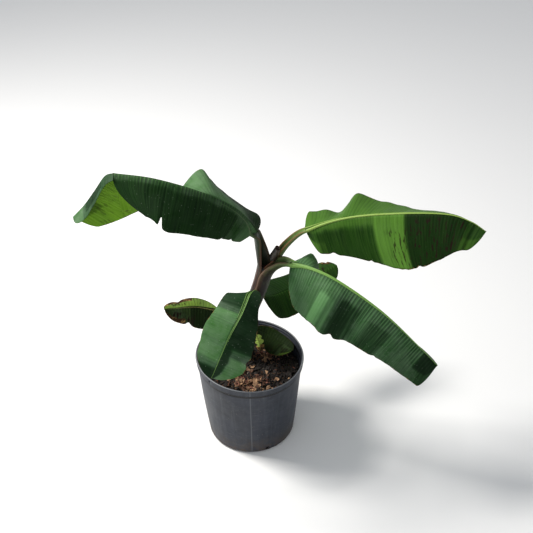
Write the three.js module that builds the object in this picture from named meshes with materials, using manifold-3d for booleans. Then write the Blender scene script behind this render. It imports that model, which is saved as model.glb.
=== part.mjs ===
// A young banana plant in a round plastic nursery pot.
//
// Frame: millimetres, +Z up, the origin at the centre of the pot's flat underside.
// +X runs to the plant's right as it is seen from the front, +Y runs to the back.
// The plant is a leaning false stem of wrapped leaf bases with seven leaves on it.
// Each leaf is a stalk running on into a midrib, with a thin blade on either side of it.
import * as THREE from 'three';
import { mergeVertices } from 'three/addons/utils/BufferGeometryUtils.js';
import Module from 'manifold-3d';

const wasm = await Module();
wasm.setup();

// ---- driving sizes ----
const FIT_GAP = 0.3; // left between any two pieces that touch
const BLADE_THICKNESS = 3;
const RIB_CLEARANCE = 1.8; // from the side of a midrib to the root of a blade

const POT_HEIGHT = 242;
const RIM_RADIUS = 140;
const BODY_TOP_RADIUS = 134.5;
const BASE_RADIUS = 112;
const BASE_ROUND = 9;
const BAND_HEIGHT = 21; // the upright band under the lip
const WALL = 2.2;
const FLOOR_THICKNESS = 3;
const POT_SIDES = 38;
const RIM_OVAL = 0.036; // the rim has gone slightly oval, the base is still round
const RIM_OVAL_BEARING = 117; // degrees from +X of its longest width
const DRAIN_HOLES = 4;
const DRAIN_HOLE_RADIUS = 6;
const DRAIN_HOLE_HEIGHT = 10;
const DRAIN_HOLE_BEARING = 290; // of the first one, degrees from +X
const TAG_HOLE_RADIUS = 2.6; // for a label tie, in the band
const TAG_HOLE_BEARING = 221;
const TAG_HOLE_DROP = 10; // below the lip

const SOIL_TOP = 200;
const SOIL_MOUND = 5; // how far the middle stands above the edge

const STEM_SIDES = 20;
const STALK_SIDES = 10;
const STEM_STEPS = 16;
const STALK_STEP = 30; // length of one step along a stalk or midrib
const BLADE_STEP = 28; // and along a blade
const FEWEST_STEPS = 6; // on the smallest leaves
const BLADE_STRIPS = 4; // across one half of a blade
const SMALLEST_WIDTH = 4;
const LINE_SMOOTHING = 30; // the length over which a midrib's direction is evened out
const RIB_TIP = [1.8, 1.8];

// ---- small helpers ----
const point = (p) => new THREE.Vector3(...p);
const radians = THREE.MathUtils.degToRad;

/** The value at a share (0..1) along evenly spaced values, on a smooth curve through them. */
function along(values, share) {
  const last = values.length - 1;
  if (last === 0) return values[0];
  const at = THREE.MathUtils.clamp(share, 0, 1) * last;
  const i = Math.min(Math.floor(at), last - 1);
  const t = at - i;
  const b = values[i];
  const c = values[i + 1];
  const a = i > 0 ? values[i - 1] : 2 * b - c;
  const d = i + 2 <= last ? values[i + 2] : 2 * c - b;
  const square = 2 * a - 5 * b + 4 * c - d;
  const cube = 3 * b - a - 3 * c + d;
  return 0.5 * (2 * b + (c - a) * t + square * t * t + cube * t * t * t);
}

/** A closed solid through rings of points that all have the same even count. */
function skin(rings) {
  const count = rings[0].length;
  const positions = rings.flat().flatMap((p) => [p.x, p.y, p.z]);
  const faces = [];
  const quad = (a, b, c, d) => faces.push(a, b, c, a, c, d);
  for (let row = 0; row + 1 < rings.length; row += 1) {
    for (let i = 0; i < count; i += 1) {
      const j = (i + 1) % count;
      const near = row * count;
      const far = near + count;
      quad(near + i, near + j, far + j, far + i);
    }
  }
  const end = (rings.length - 1) * count;
  for (let i = 0; i + 1 < count / 2; i += 1) {
    const k = count - 1 - i;
    quad(i, k, k - 1, i + 1);
    quad(end + i, end + i + 1, end + k - 1, end + k);
  }
  const geometry = new THREE.BufferGeometry();
  geometry.setAttribute('position', new THREE.Float32BufferAttribute(positions, 3));
  geometry.setIndex(faces);
  return geometry;
}

function toManifold(geometry) {
  const bare = geometry.clone();
  bare.deleteAttribute('normal');
  bare.deleteAttribute('uv');
  const welded = mergeVertices(bare, 1e-4);
  const solid = new wasm.Manifold(
    new wasm.Mesh({
      numProp: 3,
      vertProperties: new Float32Array(welded.attributes.position.array),
      triVerts: new Uint32Array(welded.index.array),
    }),
  );
  return solid;
}

function toGeometry(solid) {
  const mesh = solid.getMesh();
  const geometry = new THREE.BufferGeometry();
  geometry.setAttribute('position', new THREE.Float32BufferAttribute(mesh.vertProperties, 3));
  geometry.setIndex(Array.from(mesh.triVerts));
  return geometry;
}

function subtract(geometry, cutters) {
  const rest = cutters.reduce(
    (solid, cutter) => solid.subtract(toManifold(cutter)),
    toManifold(geometry),
  );
  return toGeometry(rest);
}

// ---- pot and soil ----
/** Radius of the outside of the pot's wall at a height, without the band. */
function wallRadius(z) {
  const share = (z - BASE_ROUND) / (POT_HEIGHT - BAND_HEIGHT - BASE_ROUND);
  return BASE_RADIUS + (BODY_TOP_RADIUS - BASE_RADIUS) * share;
}

/** Draws a round piece slightly oval, more so toward the rim. */
function makeOval(geometry) {
  const { position } = geometry.attributes;
  for (let i = 0; i < position.count; i += 1) {
    const x = position.getX(i);
    const y = position.getY(i);
    const z = position.getZ(i);
    const turn = 2 * (Math.atan2(y, x) - radians(RIM_OVAL_BEARING));
    const scale = 1 + RIM_OVAL * (z / POT_HEIGHT) ** 2 * Math.cos(turn);
    position.setXY(i, x * scale, y * scale);
  }
  return geometry;
}

function turned(profile) {
  const points = profile.map(([radius, z]) => new THREE.Vector2(radius, z));
  const geometry = new THREE.LatheGeometry(points, POT_SIDES);
  geometry.rotateX(Math.PI / 2);
  return geometry;
}

function potGeometry() {
  const bandFoot = POT_HEIGHT - BAND_HEIGHT;
  const bandRadius = RIM_RADIUS - 2.5;
  const innerFoot = wallRadius(BASE_ROUND) - WALL;
  const profile = [
    [0, 0],
    [BASE_RADIUS - BASE_ROUND, 0],
    [BASE_RADIUS - BASE_ROUND * 0.3, BASE_ROUND * 0.3],
    [BASE_RADIUS, BASE_ROUND],
    [BODY_TOP_RADIUS, bandFoot],
    [bandRadius, bandFoot + 1.5],
    [bandRadius + 0.6, POT_HEIGHT - 5],
    [RIM_RADIUS, POT_HEIGHT - 4],
    [RIM_RADIUS, POT_HEIGHT - 1],
    [RIM_RADIUS - 1.2, POT_HEIGHT],
    [RIM_RADIUS - 3, POT_HEIGHT],
    [bandRadius - WALL, POT_HEIGHT - 2],
    [bandRadius - WALL - 0.4, bandFoot + 4],
    [BODY_TOP_RADIUS - WALL - 1, bandFoot + 2],
    [BODY_TOP_RADIUS - WALL - 1.2, bandFoot - 4],
    [innerFoot, BASE_ROUND],
    [innerFoot - 6, FLOOR_THICKNESS],
    [0, FLOOR_THICKNESS],
  ];
  const shell = makeOval(turned(profile));
  const holes = [];
  for (let i = 0; i < DRAIN_HOLES; i += 1) {
    const bearing = radians(DRAIN_HOLE_BEARING + (360 / DRAIN_HOLES) * i);
    const reach = wallRadius(DRAIN_HOLE_HEIGHT);
    holes.push(drill(bearing, reach, DRAIN_HOLE_HEIGHT, DRAIN_HOLE_RADIUS));
  }
  const tagHeight = POT_HEIGHT - TAG_HOLE_DROP;
  holes.push(drill(radians(TAG_HOLE_BEARING), bandRadius, tagHeight, TAG_HOLE_RADIUS));
  return subtract(shell, holes);
}

/** A short round bar lying along a bearing, to cut a hole through the wall. */
function drill(bearing, reach, height, radius) {
  const bar = new THREE.CylinderGeometry(radius, radius, 20, 12);
  bar.rotateZ(Math.PI / 2);
  bar.translate(reach, 0, height);
  bar.rotateZ(bearing);
  return bar;
}

function soilGeometry() {
  const inside = (z) => wallRadius(z) - WALL - 1.4;
  const foot = FLOOR_THICKNESS + FIT_GAP;
  return makeOval(
    turned([
      [0, foot],
      [inside(BASE_ROUND) - 7, foot],
      [inside(BASE_ROUND), BASE_ROUND + 2],
      [inside(SOIL_TOP - SOIL_MOUND), SOIL_TOP - SOIL_MOUND],
      [inside(SOIL_TOP) * 0.7, SOIL_TOP],
      [0, SOIL_TOP],
    ]),
  );
}

// ---- stem ----
const STEM = {
  line: [[-24, 45, 190], [-17, 43, 235], [-2, 37, 320], [25, 28, 415], [38, 22, 470], [43, 18, 500]],
  radii: [27, 23, 20, 17, 18, 17],
};

const STUB = {
  line: [[62, 4, 530], [68, -1, 546], [74, -6, 564]],
  radii: [9, 8, 6],
};

function curveOf(line) {
  const curve = new THREE.CatmullRomCurve3(line.map(point), false, 'catmullrom', 0.5);
  curve.arcLengthDivisions = 60 * line.length;
  return curve;
}

function ringAt(centre, side, up, halfWidth, halfDepth, sides) {
  return Array.from({ length: sides }, (_, i) => {
    const turn = (-2 * Math.PI * (i + 0.5)) / sides;
    return centre
      .clone()
      .addScaledVector(side, halfWidth * Math.cos(turn))
      .addScaledVector(up, halfDepth * Math.sin(turn));
  });
}

/** The false stem; grow makes it fatter, to cut its own hollow out of a neighbour. */
function stemGeometry(grow = 0) {
  const curve = curveOf(STEM.line);
  const rings = [];
  for (let i = 0; i <= STEM_STEPS; i += 1) {
    const share = i / STEM_STEPS;
    const ahead = curve.getTangentAt(share);
    const side = new THREE.Vector3(1, 0, 0).addScaledVector(ahead, -ahead.x).normalize();
    const up = new THREE.Vector3().crossVectors(side, ahead);
    const radius = along(STEM.radii, share) + grow;
    rings.push(ringAt(curve.getPointAt(share), side, up, radius, radius, STEM_SIDES));
  }
  const below = new THREE.BoxGeometry(200, 200, 100);
  below.translate(STEM.line[0][0], STEM.line[0][1], SOIL_TOP + FIT_GAP - grow - 50);
  return subtract(skin(rings), [below]);
}

/** The cut stump of the next leaf, still rolled up, standing in the fork. */
function stubGeometry() {
  const curve = curveOf(STUB.line);
  const rings = [];
  for (let i = 0; i <= 4; i += 1) {
    const share = i / 4;
    const ahead = curve.getTangentAt(share);
    const side = new THREE.Vector3(1, 0, 0).addScaledVector(ahead, -ahead.x).normalize();
    const up = new THREE.Vector3().crossVectors(side, ahead);
    const radius = along(STUB.radii, share);
    rings.push(ringAt(curve.getPointAt(share), side, up, radius, radius, STALK_SIDES));
  }
  return skin(rings);
}

// ---- leaves ----
// line: points the stalk and then the midrib pass through; the blade starts at point bladeFrom.
// across: compass bearing, in degrees from +X, of the leaf's right-hand side along the blade.
// stalk: half width and half depth of the stalk at its foot and where the blade starts.
// Of each half: span is the part of the blade it covers, widths its breadth from the midrib,
// droop how steeply it leaves the midrib, curl how much further it bends before its edge,
// sweep how far its veins lean toward the tip, and round the share of its length that is
// rounded off at either end. cutBy names the leaves whose stalks its own stalk wraps round.
const RIGHT = 1;
const LEFT = -1;
const LEAVES = {
  left_leaf: {
    line: [
      [44, 15, 496], [36, 2, 565], [27, -18, 618], [1, -38, 674], [-35, -60, 720],
      [-96, -85, 769], [-185, -92, 806], [-272, -70, 810],
    ],
    bladeFrom: 2,
    across: [85, 100, 110, 105, 75],
    stalk: [[16, 15], [13, 12]],
    ribTip: [3, 3],
    cutBy: [],
    halves: {
      left_front: {
        side: LEFT, span: [0, 0.7], widths: [24, 43, 61, 80, 94, 101, 103], droop: [50, 50, 48, 45],
        curl: 20, sweep: [-0.3, 0, 0, 0], round: [0.02, 0.06],
      },
      left_end: {
        side: LEFT, span: [0.705, 1], widths: [94, 88, 84, 80], droop: [45, 47, 50],
        curl: 20, sweep: [-0.05, -0.2, -0.5, -0.95], round: [0, 0],
      },
      right_crest: {
        side: RIGHT, span: [0, 0.46], widths: [62, 80, 94, 106, 111], droop: [-22, 2, 3, -5, 2],
        curl: 8, sweep: [-0.5, -0.1, 0], round: [0.05, 0],
      },
      right_fall: {
        side: RIGHT, span: [0.465, 1], widths: [111, 112, 111, 109, 108], droop: [26, 44, 56, 65, 75],
        curl: 15, sweep: [0], round: [0, 0],
      },
    },
  },
  left_leaf_tip: {
    line: [[-276, -69, 806], [-306, -55, 770], [-343, -45, 724], [-377, -38, 687]],
    bladeFrom: 0,
    across: [50, 40],
    stalk: [[3, 3], [3, 3]],
    ribTip: RIB_TIP,
    cutBy: ['left_leaf'],
    halves: {
      left: {
        side: LEFT, span: [0.04, 1], widths: [16, 30, 40, 40], droop: [50],
        curl: 10, sweep: [0], round: [0, 0.25],
      },
      right: {
        side: RIGHT, span: [0.1, 1], widths: [104, 104, 84, 56], droop: [45],
        curl: 10, sweep: [0], round: [0, 0.1],
      },
    },
  },
  lower_right_leaf: {
    line: [
      [46, 14, 486], [70, -8, 524], [102, -30, 540], [188, -90, 539], [296, -150, 484],
      [387, -190, 402], [426, -211, 337],
    ],
    bladeFrom: 2,
    across: [-100, -105, -120, -130],
    stalk: [[13, 12], [8, 8]],
    ribTip: RIB_TIP,
    cutBy: ['left_leaf'],
    halves: {
      right_upper: {
        side: RIGHT, span: [0, 0.42], widths: [92, 105, 114, 122], droop: [50, 46, 40, 58],
        curl: 15, sweep: [-0.16, 0, 0.06], round: [0.1, 0],
      },
      right_lower: {
        side: RIGHT, span: [0.425, 1], widths: [118, 102, 84, 66, 42], droop: [61, 50, 44, 42, 40],
        curl: 15, sweep: [0.07, 0.03, 0], round: [0, 0.12],
      },
      left: {
        side: LEFT, span: [0, 1], widths: [30, 56, 54, 66, 74, 78, 78, 74, 66, 60, 55],
        droop: [30, -4, 14, 42, 50, 55, 55, 55, 50, 42, 35], curl: 20, sweep: [0], round: [0.06, 0.12],
      },
    },
  },
  upper_right_leaf: {
    line: [
      [47, 17, 500], [69, 14, 524], [97, 4, 572], [137, -15, 618], [225, -42, 664],
      [330, -85, 697], [425, -131, 719], [472, -157, 715], [502, -177, 701],
    ],
    bladeFrom: 3,
    across: [-80, -100, -113, -112, -105],
    stalk: [[12, 12], [8, 8]],
    ribTip: RIB_TIP,
    cutBy: ['left_leaf', 'lower_right_leaf'],
    halves: {
      right: {
        side: RIGHT, span: [0, 1], widths: [60, 76, 98, 118, 120, 98, 66], droop: [50, 50, 50, 45, 40],
        curl: 15, sweep: [-0.1, 0.05, 0.15, 0.2, 0.1, 0.1, 0.2], round: [0.05, 0.14],
      },
      left: {
        side: LEFT, span: [0, 1], widths: [76, 88, 112, 106, 98, 94, 88, 80],
        droop: [8, 11, 9, 22, 12, 1, 6, 11, 14, 17, 20, 23, 25, 26, 27, 28, 29, 30, 31, 32, 34],
        curl: 4, sweep: [-0.2, -0.05, 0, 0, 0, 0, 0], round: [0.02, 0.2],
      },
    },
  },
  front_leaf: {
    line: [
      [29, 18, 404], [16, -8, 445], [5, -30, 456], [-4, -50, 447], [-19, -75, 425], [-44, -110, 396],
      [-66, -130, 352], [-92, -142, 292],
    ],
    bladeFrom: 1,
    across: [200, 180, 168, 160, 160],
    stalk: [[9, 8], [6, 6]],
    ribTip: RIB_TIP,
    cutBy: [],
    halves: {
      right: {
        side: RIGHT, span: [0.02, 1], widths: [45, 58, 64, 66, 58, 40], droop: [15, 10, 0, -2, -32],
        curl: 10, sweep: [0], round: [0.12, 0.2],
      },
      left: {
        side: LEFT, span: [0.02, 1], widths: [30, 38, 56, 66, 66, 50], droop: [15, 20, 10, 0],
        curl: 10, sweep: [0], round: [0.12, 0.2],
      },
    },
  },
  back_leaf: {
    line: [[30, 30, 398], [40, 58, 380], [80, 108, 348], [150, 155, 350], [240, 200, 366]],
    bladeFrom: 1,
    across: [-50, -60],
    stalk: [[8, 8], [5, 5]],
    ribTip: RIB_TIP,
    cutBy: [],
    halves: {
      right: {
        side: RIGHT, span: [0, 1], widths: [48, 66, 66, 56, 45, 34], droop: [30],
        curl: 20, sweep: [0], round: [0.15, 0.15],
      },
      left: {
        side: LEFT, span: [0, 1], widths: [42, 66, 72, 60, 52, 46], droop: [0],
        curl: 15, sweep: [0], round: [0.15, 0.15],
      },
    },
  },
  lower_left_leaf: {
    line: [[2, 38, 340], [-75, 50, 350], [-132, 50, 362], [-181, 40, 366], [-207, 30, 372]],
    bladeFrom: 1,
    across: [90, 100],
    stalk: [[7, 7], [5, 5]],
    ribTip: RIB_TIP,
    cutBy: [],
    halves: {
      left: {
        side: LEFT, span: [0, 1], widths: [52, 56, 44, 20], droop: [55],
        curl: 20, sweep: [-0.3, 0, 0], round: [0.2, 0.2],
      },
      right: {
        side: RIGHT, span: [0, 1], widths: [25, 38, 38, 20], droop: [0],
        curl: 20, sweep: [0], round: [0.2, 0.2],
      },
    },
  },
  pot_leaf: {
    line: [[-6, 42, 285], [18, 74, 260], [54, 76, 238], [88, 52, 228], [113, 25, 228]],
    bladeFrom: 1,
    across: [-90, -130],
    stalk: [[6, 6], [4, 4]],
    ribTip: RIB_TIP,
    cutBy: [],
    halves: {
      right: {
        side: RIGHT, span: [0, 1], widths: [25, 42, 46, 30], droop: [10],
        curl: 10, sweep: [0], round: [0.2, 0.2],
      },
      left: {
        side: LEFT, span: [0, 1], widths: [15, 22, 20, 12], droop: [-25],
        curl: 10, sweep: [0], round: [0.2, 0.2],
      },
    },
  },
  withered_leaf: {
    line: [[-2, 34, 312], [14, 10, 306], [24, -4, 288], [28, -14, 262]],
    bladeFrom: 1,
    across: [150, 170],
    stalk: [[4, 4], [3, 3]],
    ribTip: RIB_TIP,
    cutBy: [],
    halves: {
      right: {
        side: RIGHT, span: [0.2, 1], widths: [15, 19, 16], droop: [30],
        curl: 10, sweep: [0], round: [0.2, 0.3],
      },
      left: {
        side: LEFT, span: [0.2, 1], widths: [11, 13, 12], droop: [30],
        curl: 10, sweep: [0], round: [0.2, 0.3],
      },
    },
  },
};

/** A leaf's line worked out: where its blade starts, and a frame at any length along it. */
function leafFrame(leaf) {
  const curve = curveOf(leaf.line);
  const lengths = curve.getLengths(curve.arcLengthDivisions);
  const total = lengths[lengths.length - 1];
  const bladeAt = lengths[Math.round((leaf.bladeFrom / (leaf.line.length - 1)) * (lengths.length - 1))];
  const smooth = Math.min(LINE_SMOOTHING, total * 0.1);
  const at = (length) => curve.getPointAt(THREE.MathUtils.clamp(length / total, 0, 1));
  const frame = (length) => {
    const share = (length - bladeAt) / (total - bladeAt);
    const bearing = radians(along(leaf.across, share));
    const ahead = at(length + smooth).sub(at(length - smooth)).normalize();
    const side = new THREE.Vector3(Math.cos(bearing), Math.sin(bearing), 0);
    side.addScaledVector(ahead, -side.dot(ahead)).normalize();
    const up = new THREE.Vector3().crossVectors(side, ahead);
    return { centre: at(length), ahead, side, up, share };
  };
  return { total, bladeAt, frame };
}

/** Half width and half depth of the stalk or midrib at a length. */
function ribSize(leaf, run, length) {
  const [foot, neck] = leaf.stalk;
  const inBlade = length > run.bladeAt;
  const share = inBlade
    ? (length - run.bladeAt) / (run.total - run.bladeAt)
    : length / Math.max(run.bladeAt, 1);
  const [from, to] = inBlade ? [neck, leaf.ribTip] : [foot, neck];
  return [0, 1].map((i) => THREE.MathUtils.lerp(from[i], to[i], share));
}

function ribGeometry(leaf, grow = 0) {
  const run = leafFrame(leaf);
  const steps = Math.max(FEWEST_STEPS, Math.ceil(run.total / STALK_STEP));
  const rings = [];
  for (let i = 0; i <= steps; i += 1) {
    const length = (run.total * i) / steps;
    const { centre, side, up } = run.frame(length);
    const [halfWidth, halfDepth] = ribSize(leaf, run, length);
    rings.push(ringAt(centre, side, up, halfWidth + grow, halfDepth + grow, STALK_SIDES));
  }
  return skin(rings);
}

/** Breadth of a half at a share of its own length, with its rounded ends. */
function breadth(half, share) {
  const [start, end] = half.round;
  const arc = (part) => Math.sqrt(Math.max(0, 1 - (1 - part) ** 2));
  const startFade = start > 0 && share < start ? arc(share / start) : 1;
  const endFade = end > 0 && share > 1 - end ? arc((1 - share) / end) : 1;
  return Math.max(along(half.widths, share) * startFade * endFade, SMALLEST_WIDTH);
}

function bladeGeometry(leaf, half) {
  const run = leafFrame(leaf);
  const bladeLength = run.total - run.bladeAt;
  const [from, to] = half.span;
  const steps = Math.max(FEWEST_STEPS, Math.ceil(((to - from) * bladeLength) / BLADE_STEP));
  const rings = [];
  for (let i = 0; i <= steps; i += 1) {
    const share = i / steps;
    const length = run.bladeAt + bladeLength * THREE.MathUtils.lerp(from, to, share);
    const { centre, ahead, side, up } = run.frame(length);
    const [ribHalf] = ribSize(leaf, run, length);
    const width = Math.max(breadth(half, share), ribHalf + RIB_CLEARANCE + SMALLEST_WIDTH);
    const droop = radians(along(half.droop, share));
    const curl = radians(half.curl);
    const above = [];
    const below = [];
    for (let j = 0; j <= BLADE_STRIPS; j += 1) {
      const rootShare = (ribHalf + RIB_CLEARANCE) / width;
      const reach = THREE.MathUtils.lerp(rootShare, 1, j / BLADE_STRIPS);
      const tilt = droop + curl * reach;
      const out = (Math.sin(tilt) - Math.sin(droop)) / curl;
      const down = (Math.cos(droop) - Math.cos(tilt)) / curl;
      const facing = up.clone().multiplyScalar(Math.cos(tilt))
        .addScaledVector(side, half.side * Math.sin(tilt));
      const middle = centre.clone()
        .addScaledVector(side, half.side * width * out)
        .addScaledVector(up, -width * down)
        .addScaledVector(ahead, along(half.sweep, share) * width * reach * reach);
      above.push(middle.clone().addScaledVector(facing, BLADE_THICKNESS / 2));
      below.unshift(middle.clone().addScaledVector(facing, -BLADE_THICKNESS / 2));
    }
    const ring = [...above, ...below];
    rings.push(half.side === RIGHT ? ring : ring.reverse());
  }
  return skin(rings);
}

// ---- assembly ----
const part = new THREE.Group();
part.name = 'potted_banana_plant';

function add(name, geometry, colour) {
  const material = new THREE.MeshStandardMaterial({ color: colour, roughness: 0.7 });
  material.name = `${name}_finish`;
  const mesh = new THREE.Mesh(geometry, material);
  mesh.name = name;
  part.add(mesh);
}

add('pot', potGeometry(), 0x3a3c40);
add('soil', soilGeometry(), 0x4a3226);
add('stem', stemGeometry(), 0x45502f);
for (const [leafName, leaf] of Object.entries(LEAVES)) {
  const neighbours = leaf.cutBy.map((name) => ribGeometry(LEAVES[name], FIT_GAP));
  const rib = subtract(ribGeometry(leaf), [stemGeometry(FIT_GAP), ...neighbours]);
  add(`${leafName}_rib`, rib, 0x9ab86a);
  for (const [halfName, half] of Object.entries(leaf.halves)) {
    add(`${leafName}_${halfName}`, bladeGeometry(leaf, half), 0x2f6a2c);
  }
}
const wrapped = ['left_leaf', 'lower_right_leaf', 'upper_right_leaf'];
const stubNeighbours = wrapped.map((name) => ribGeometry(LEAVES[name], FIT_GAP));
const stub = subtract(stubGeometry(), [stemGeometry(FIT_GAP), ...stubNeighbours]);
add('cut_spear_leaf', stub, 0x2c2f22);

export default part;
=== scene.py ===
import math

import bpy
import numpy as np
from mathutils import Matrix, Vector


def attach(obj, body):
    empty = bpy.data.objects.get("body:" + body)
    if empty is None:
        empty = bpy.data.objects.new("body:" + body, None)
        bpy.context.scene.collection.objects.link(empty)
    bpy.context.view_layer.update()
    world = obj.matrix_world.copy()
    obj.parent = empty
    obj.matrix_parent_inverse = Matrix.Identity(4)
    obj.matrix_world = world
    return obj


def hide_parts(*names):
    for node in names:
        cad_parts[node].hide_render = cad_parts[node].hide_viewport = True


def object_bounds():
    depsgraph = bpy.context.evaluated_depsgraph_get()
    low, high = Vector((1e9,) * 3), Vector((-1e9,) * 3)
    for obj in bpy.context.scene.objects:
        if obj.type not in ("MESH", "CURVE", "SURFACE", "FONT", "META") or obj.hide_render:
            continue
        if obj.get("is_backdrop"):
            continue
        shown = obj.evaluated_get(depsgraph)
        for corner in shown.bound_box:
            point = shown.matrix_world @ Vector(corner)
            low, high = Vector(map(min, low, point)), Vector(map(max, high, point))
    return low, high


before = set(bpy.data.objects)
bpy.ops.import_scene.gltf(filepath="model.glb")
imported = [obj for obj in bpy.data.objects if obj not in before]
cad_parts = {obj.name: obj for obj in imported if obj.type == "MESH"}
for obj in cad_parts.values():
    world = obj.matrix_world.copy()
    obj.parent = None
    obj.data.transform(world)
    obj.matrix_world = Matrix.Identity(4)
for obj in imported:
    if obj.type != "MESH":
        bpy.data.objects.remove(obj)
solid_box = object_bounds()

MM = 0.001
TAU = 2 * math.pi
RIGHT, LEFT = 1, -1

# ---------------------------------------------------------------- sizes
# These follow the solids, apart from the end of the lower right leaf, which is higher here, and
# the breadth of the big stalks. The blades have more widths than their solids.
POT_HEIGHT = 242
RIM_RADIUS = 140
BODY_TOP_RADIUS = 134.5
BASE_RADIUS = 112
BASE_ROUND = 9
BAND_HEIGHT = 21
WALL = 2.2
FLOOR_THICKNESS = 3
RIM_OVAL = 0.036
RIM_OVAL_BEARING = 117
DRAIN_HOLES = 4
DRAIN_HOLE_RADIUS = 6
DRAIN_HOLE_HEIGHT = 10
DRAIN_HOLE_BEARING = 290
TAG_HOLE_RADIUS = 2.6
TAG_HOLE_BEARING = 221
TAG_HOLE_DROP = 10
SOIL_TOP = 200
SOIL_MOUND = 5
LINE_SMOOTHING = 30

STEM_LINE = [(-24, 45, 190), (-17, 43, 235), (-2, 37, 320), (25, 28, 415), (38, 22, 470),
             (43, 18, 500)]
STEM_RADII = [27, 23, 20, 17, 18, 17]
STUB_LINE = [(62, 4, 530), (68, -1, 546), (74, -6, 564)]
STUB_RADII = [9, 8, 6]
RIB_TIP = (1.8, 1.8)

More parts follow.
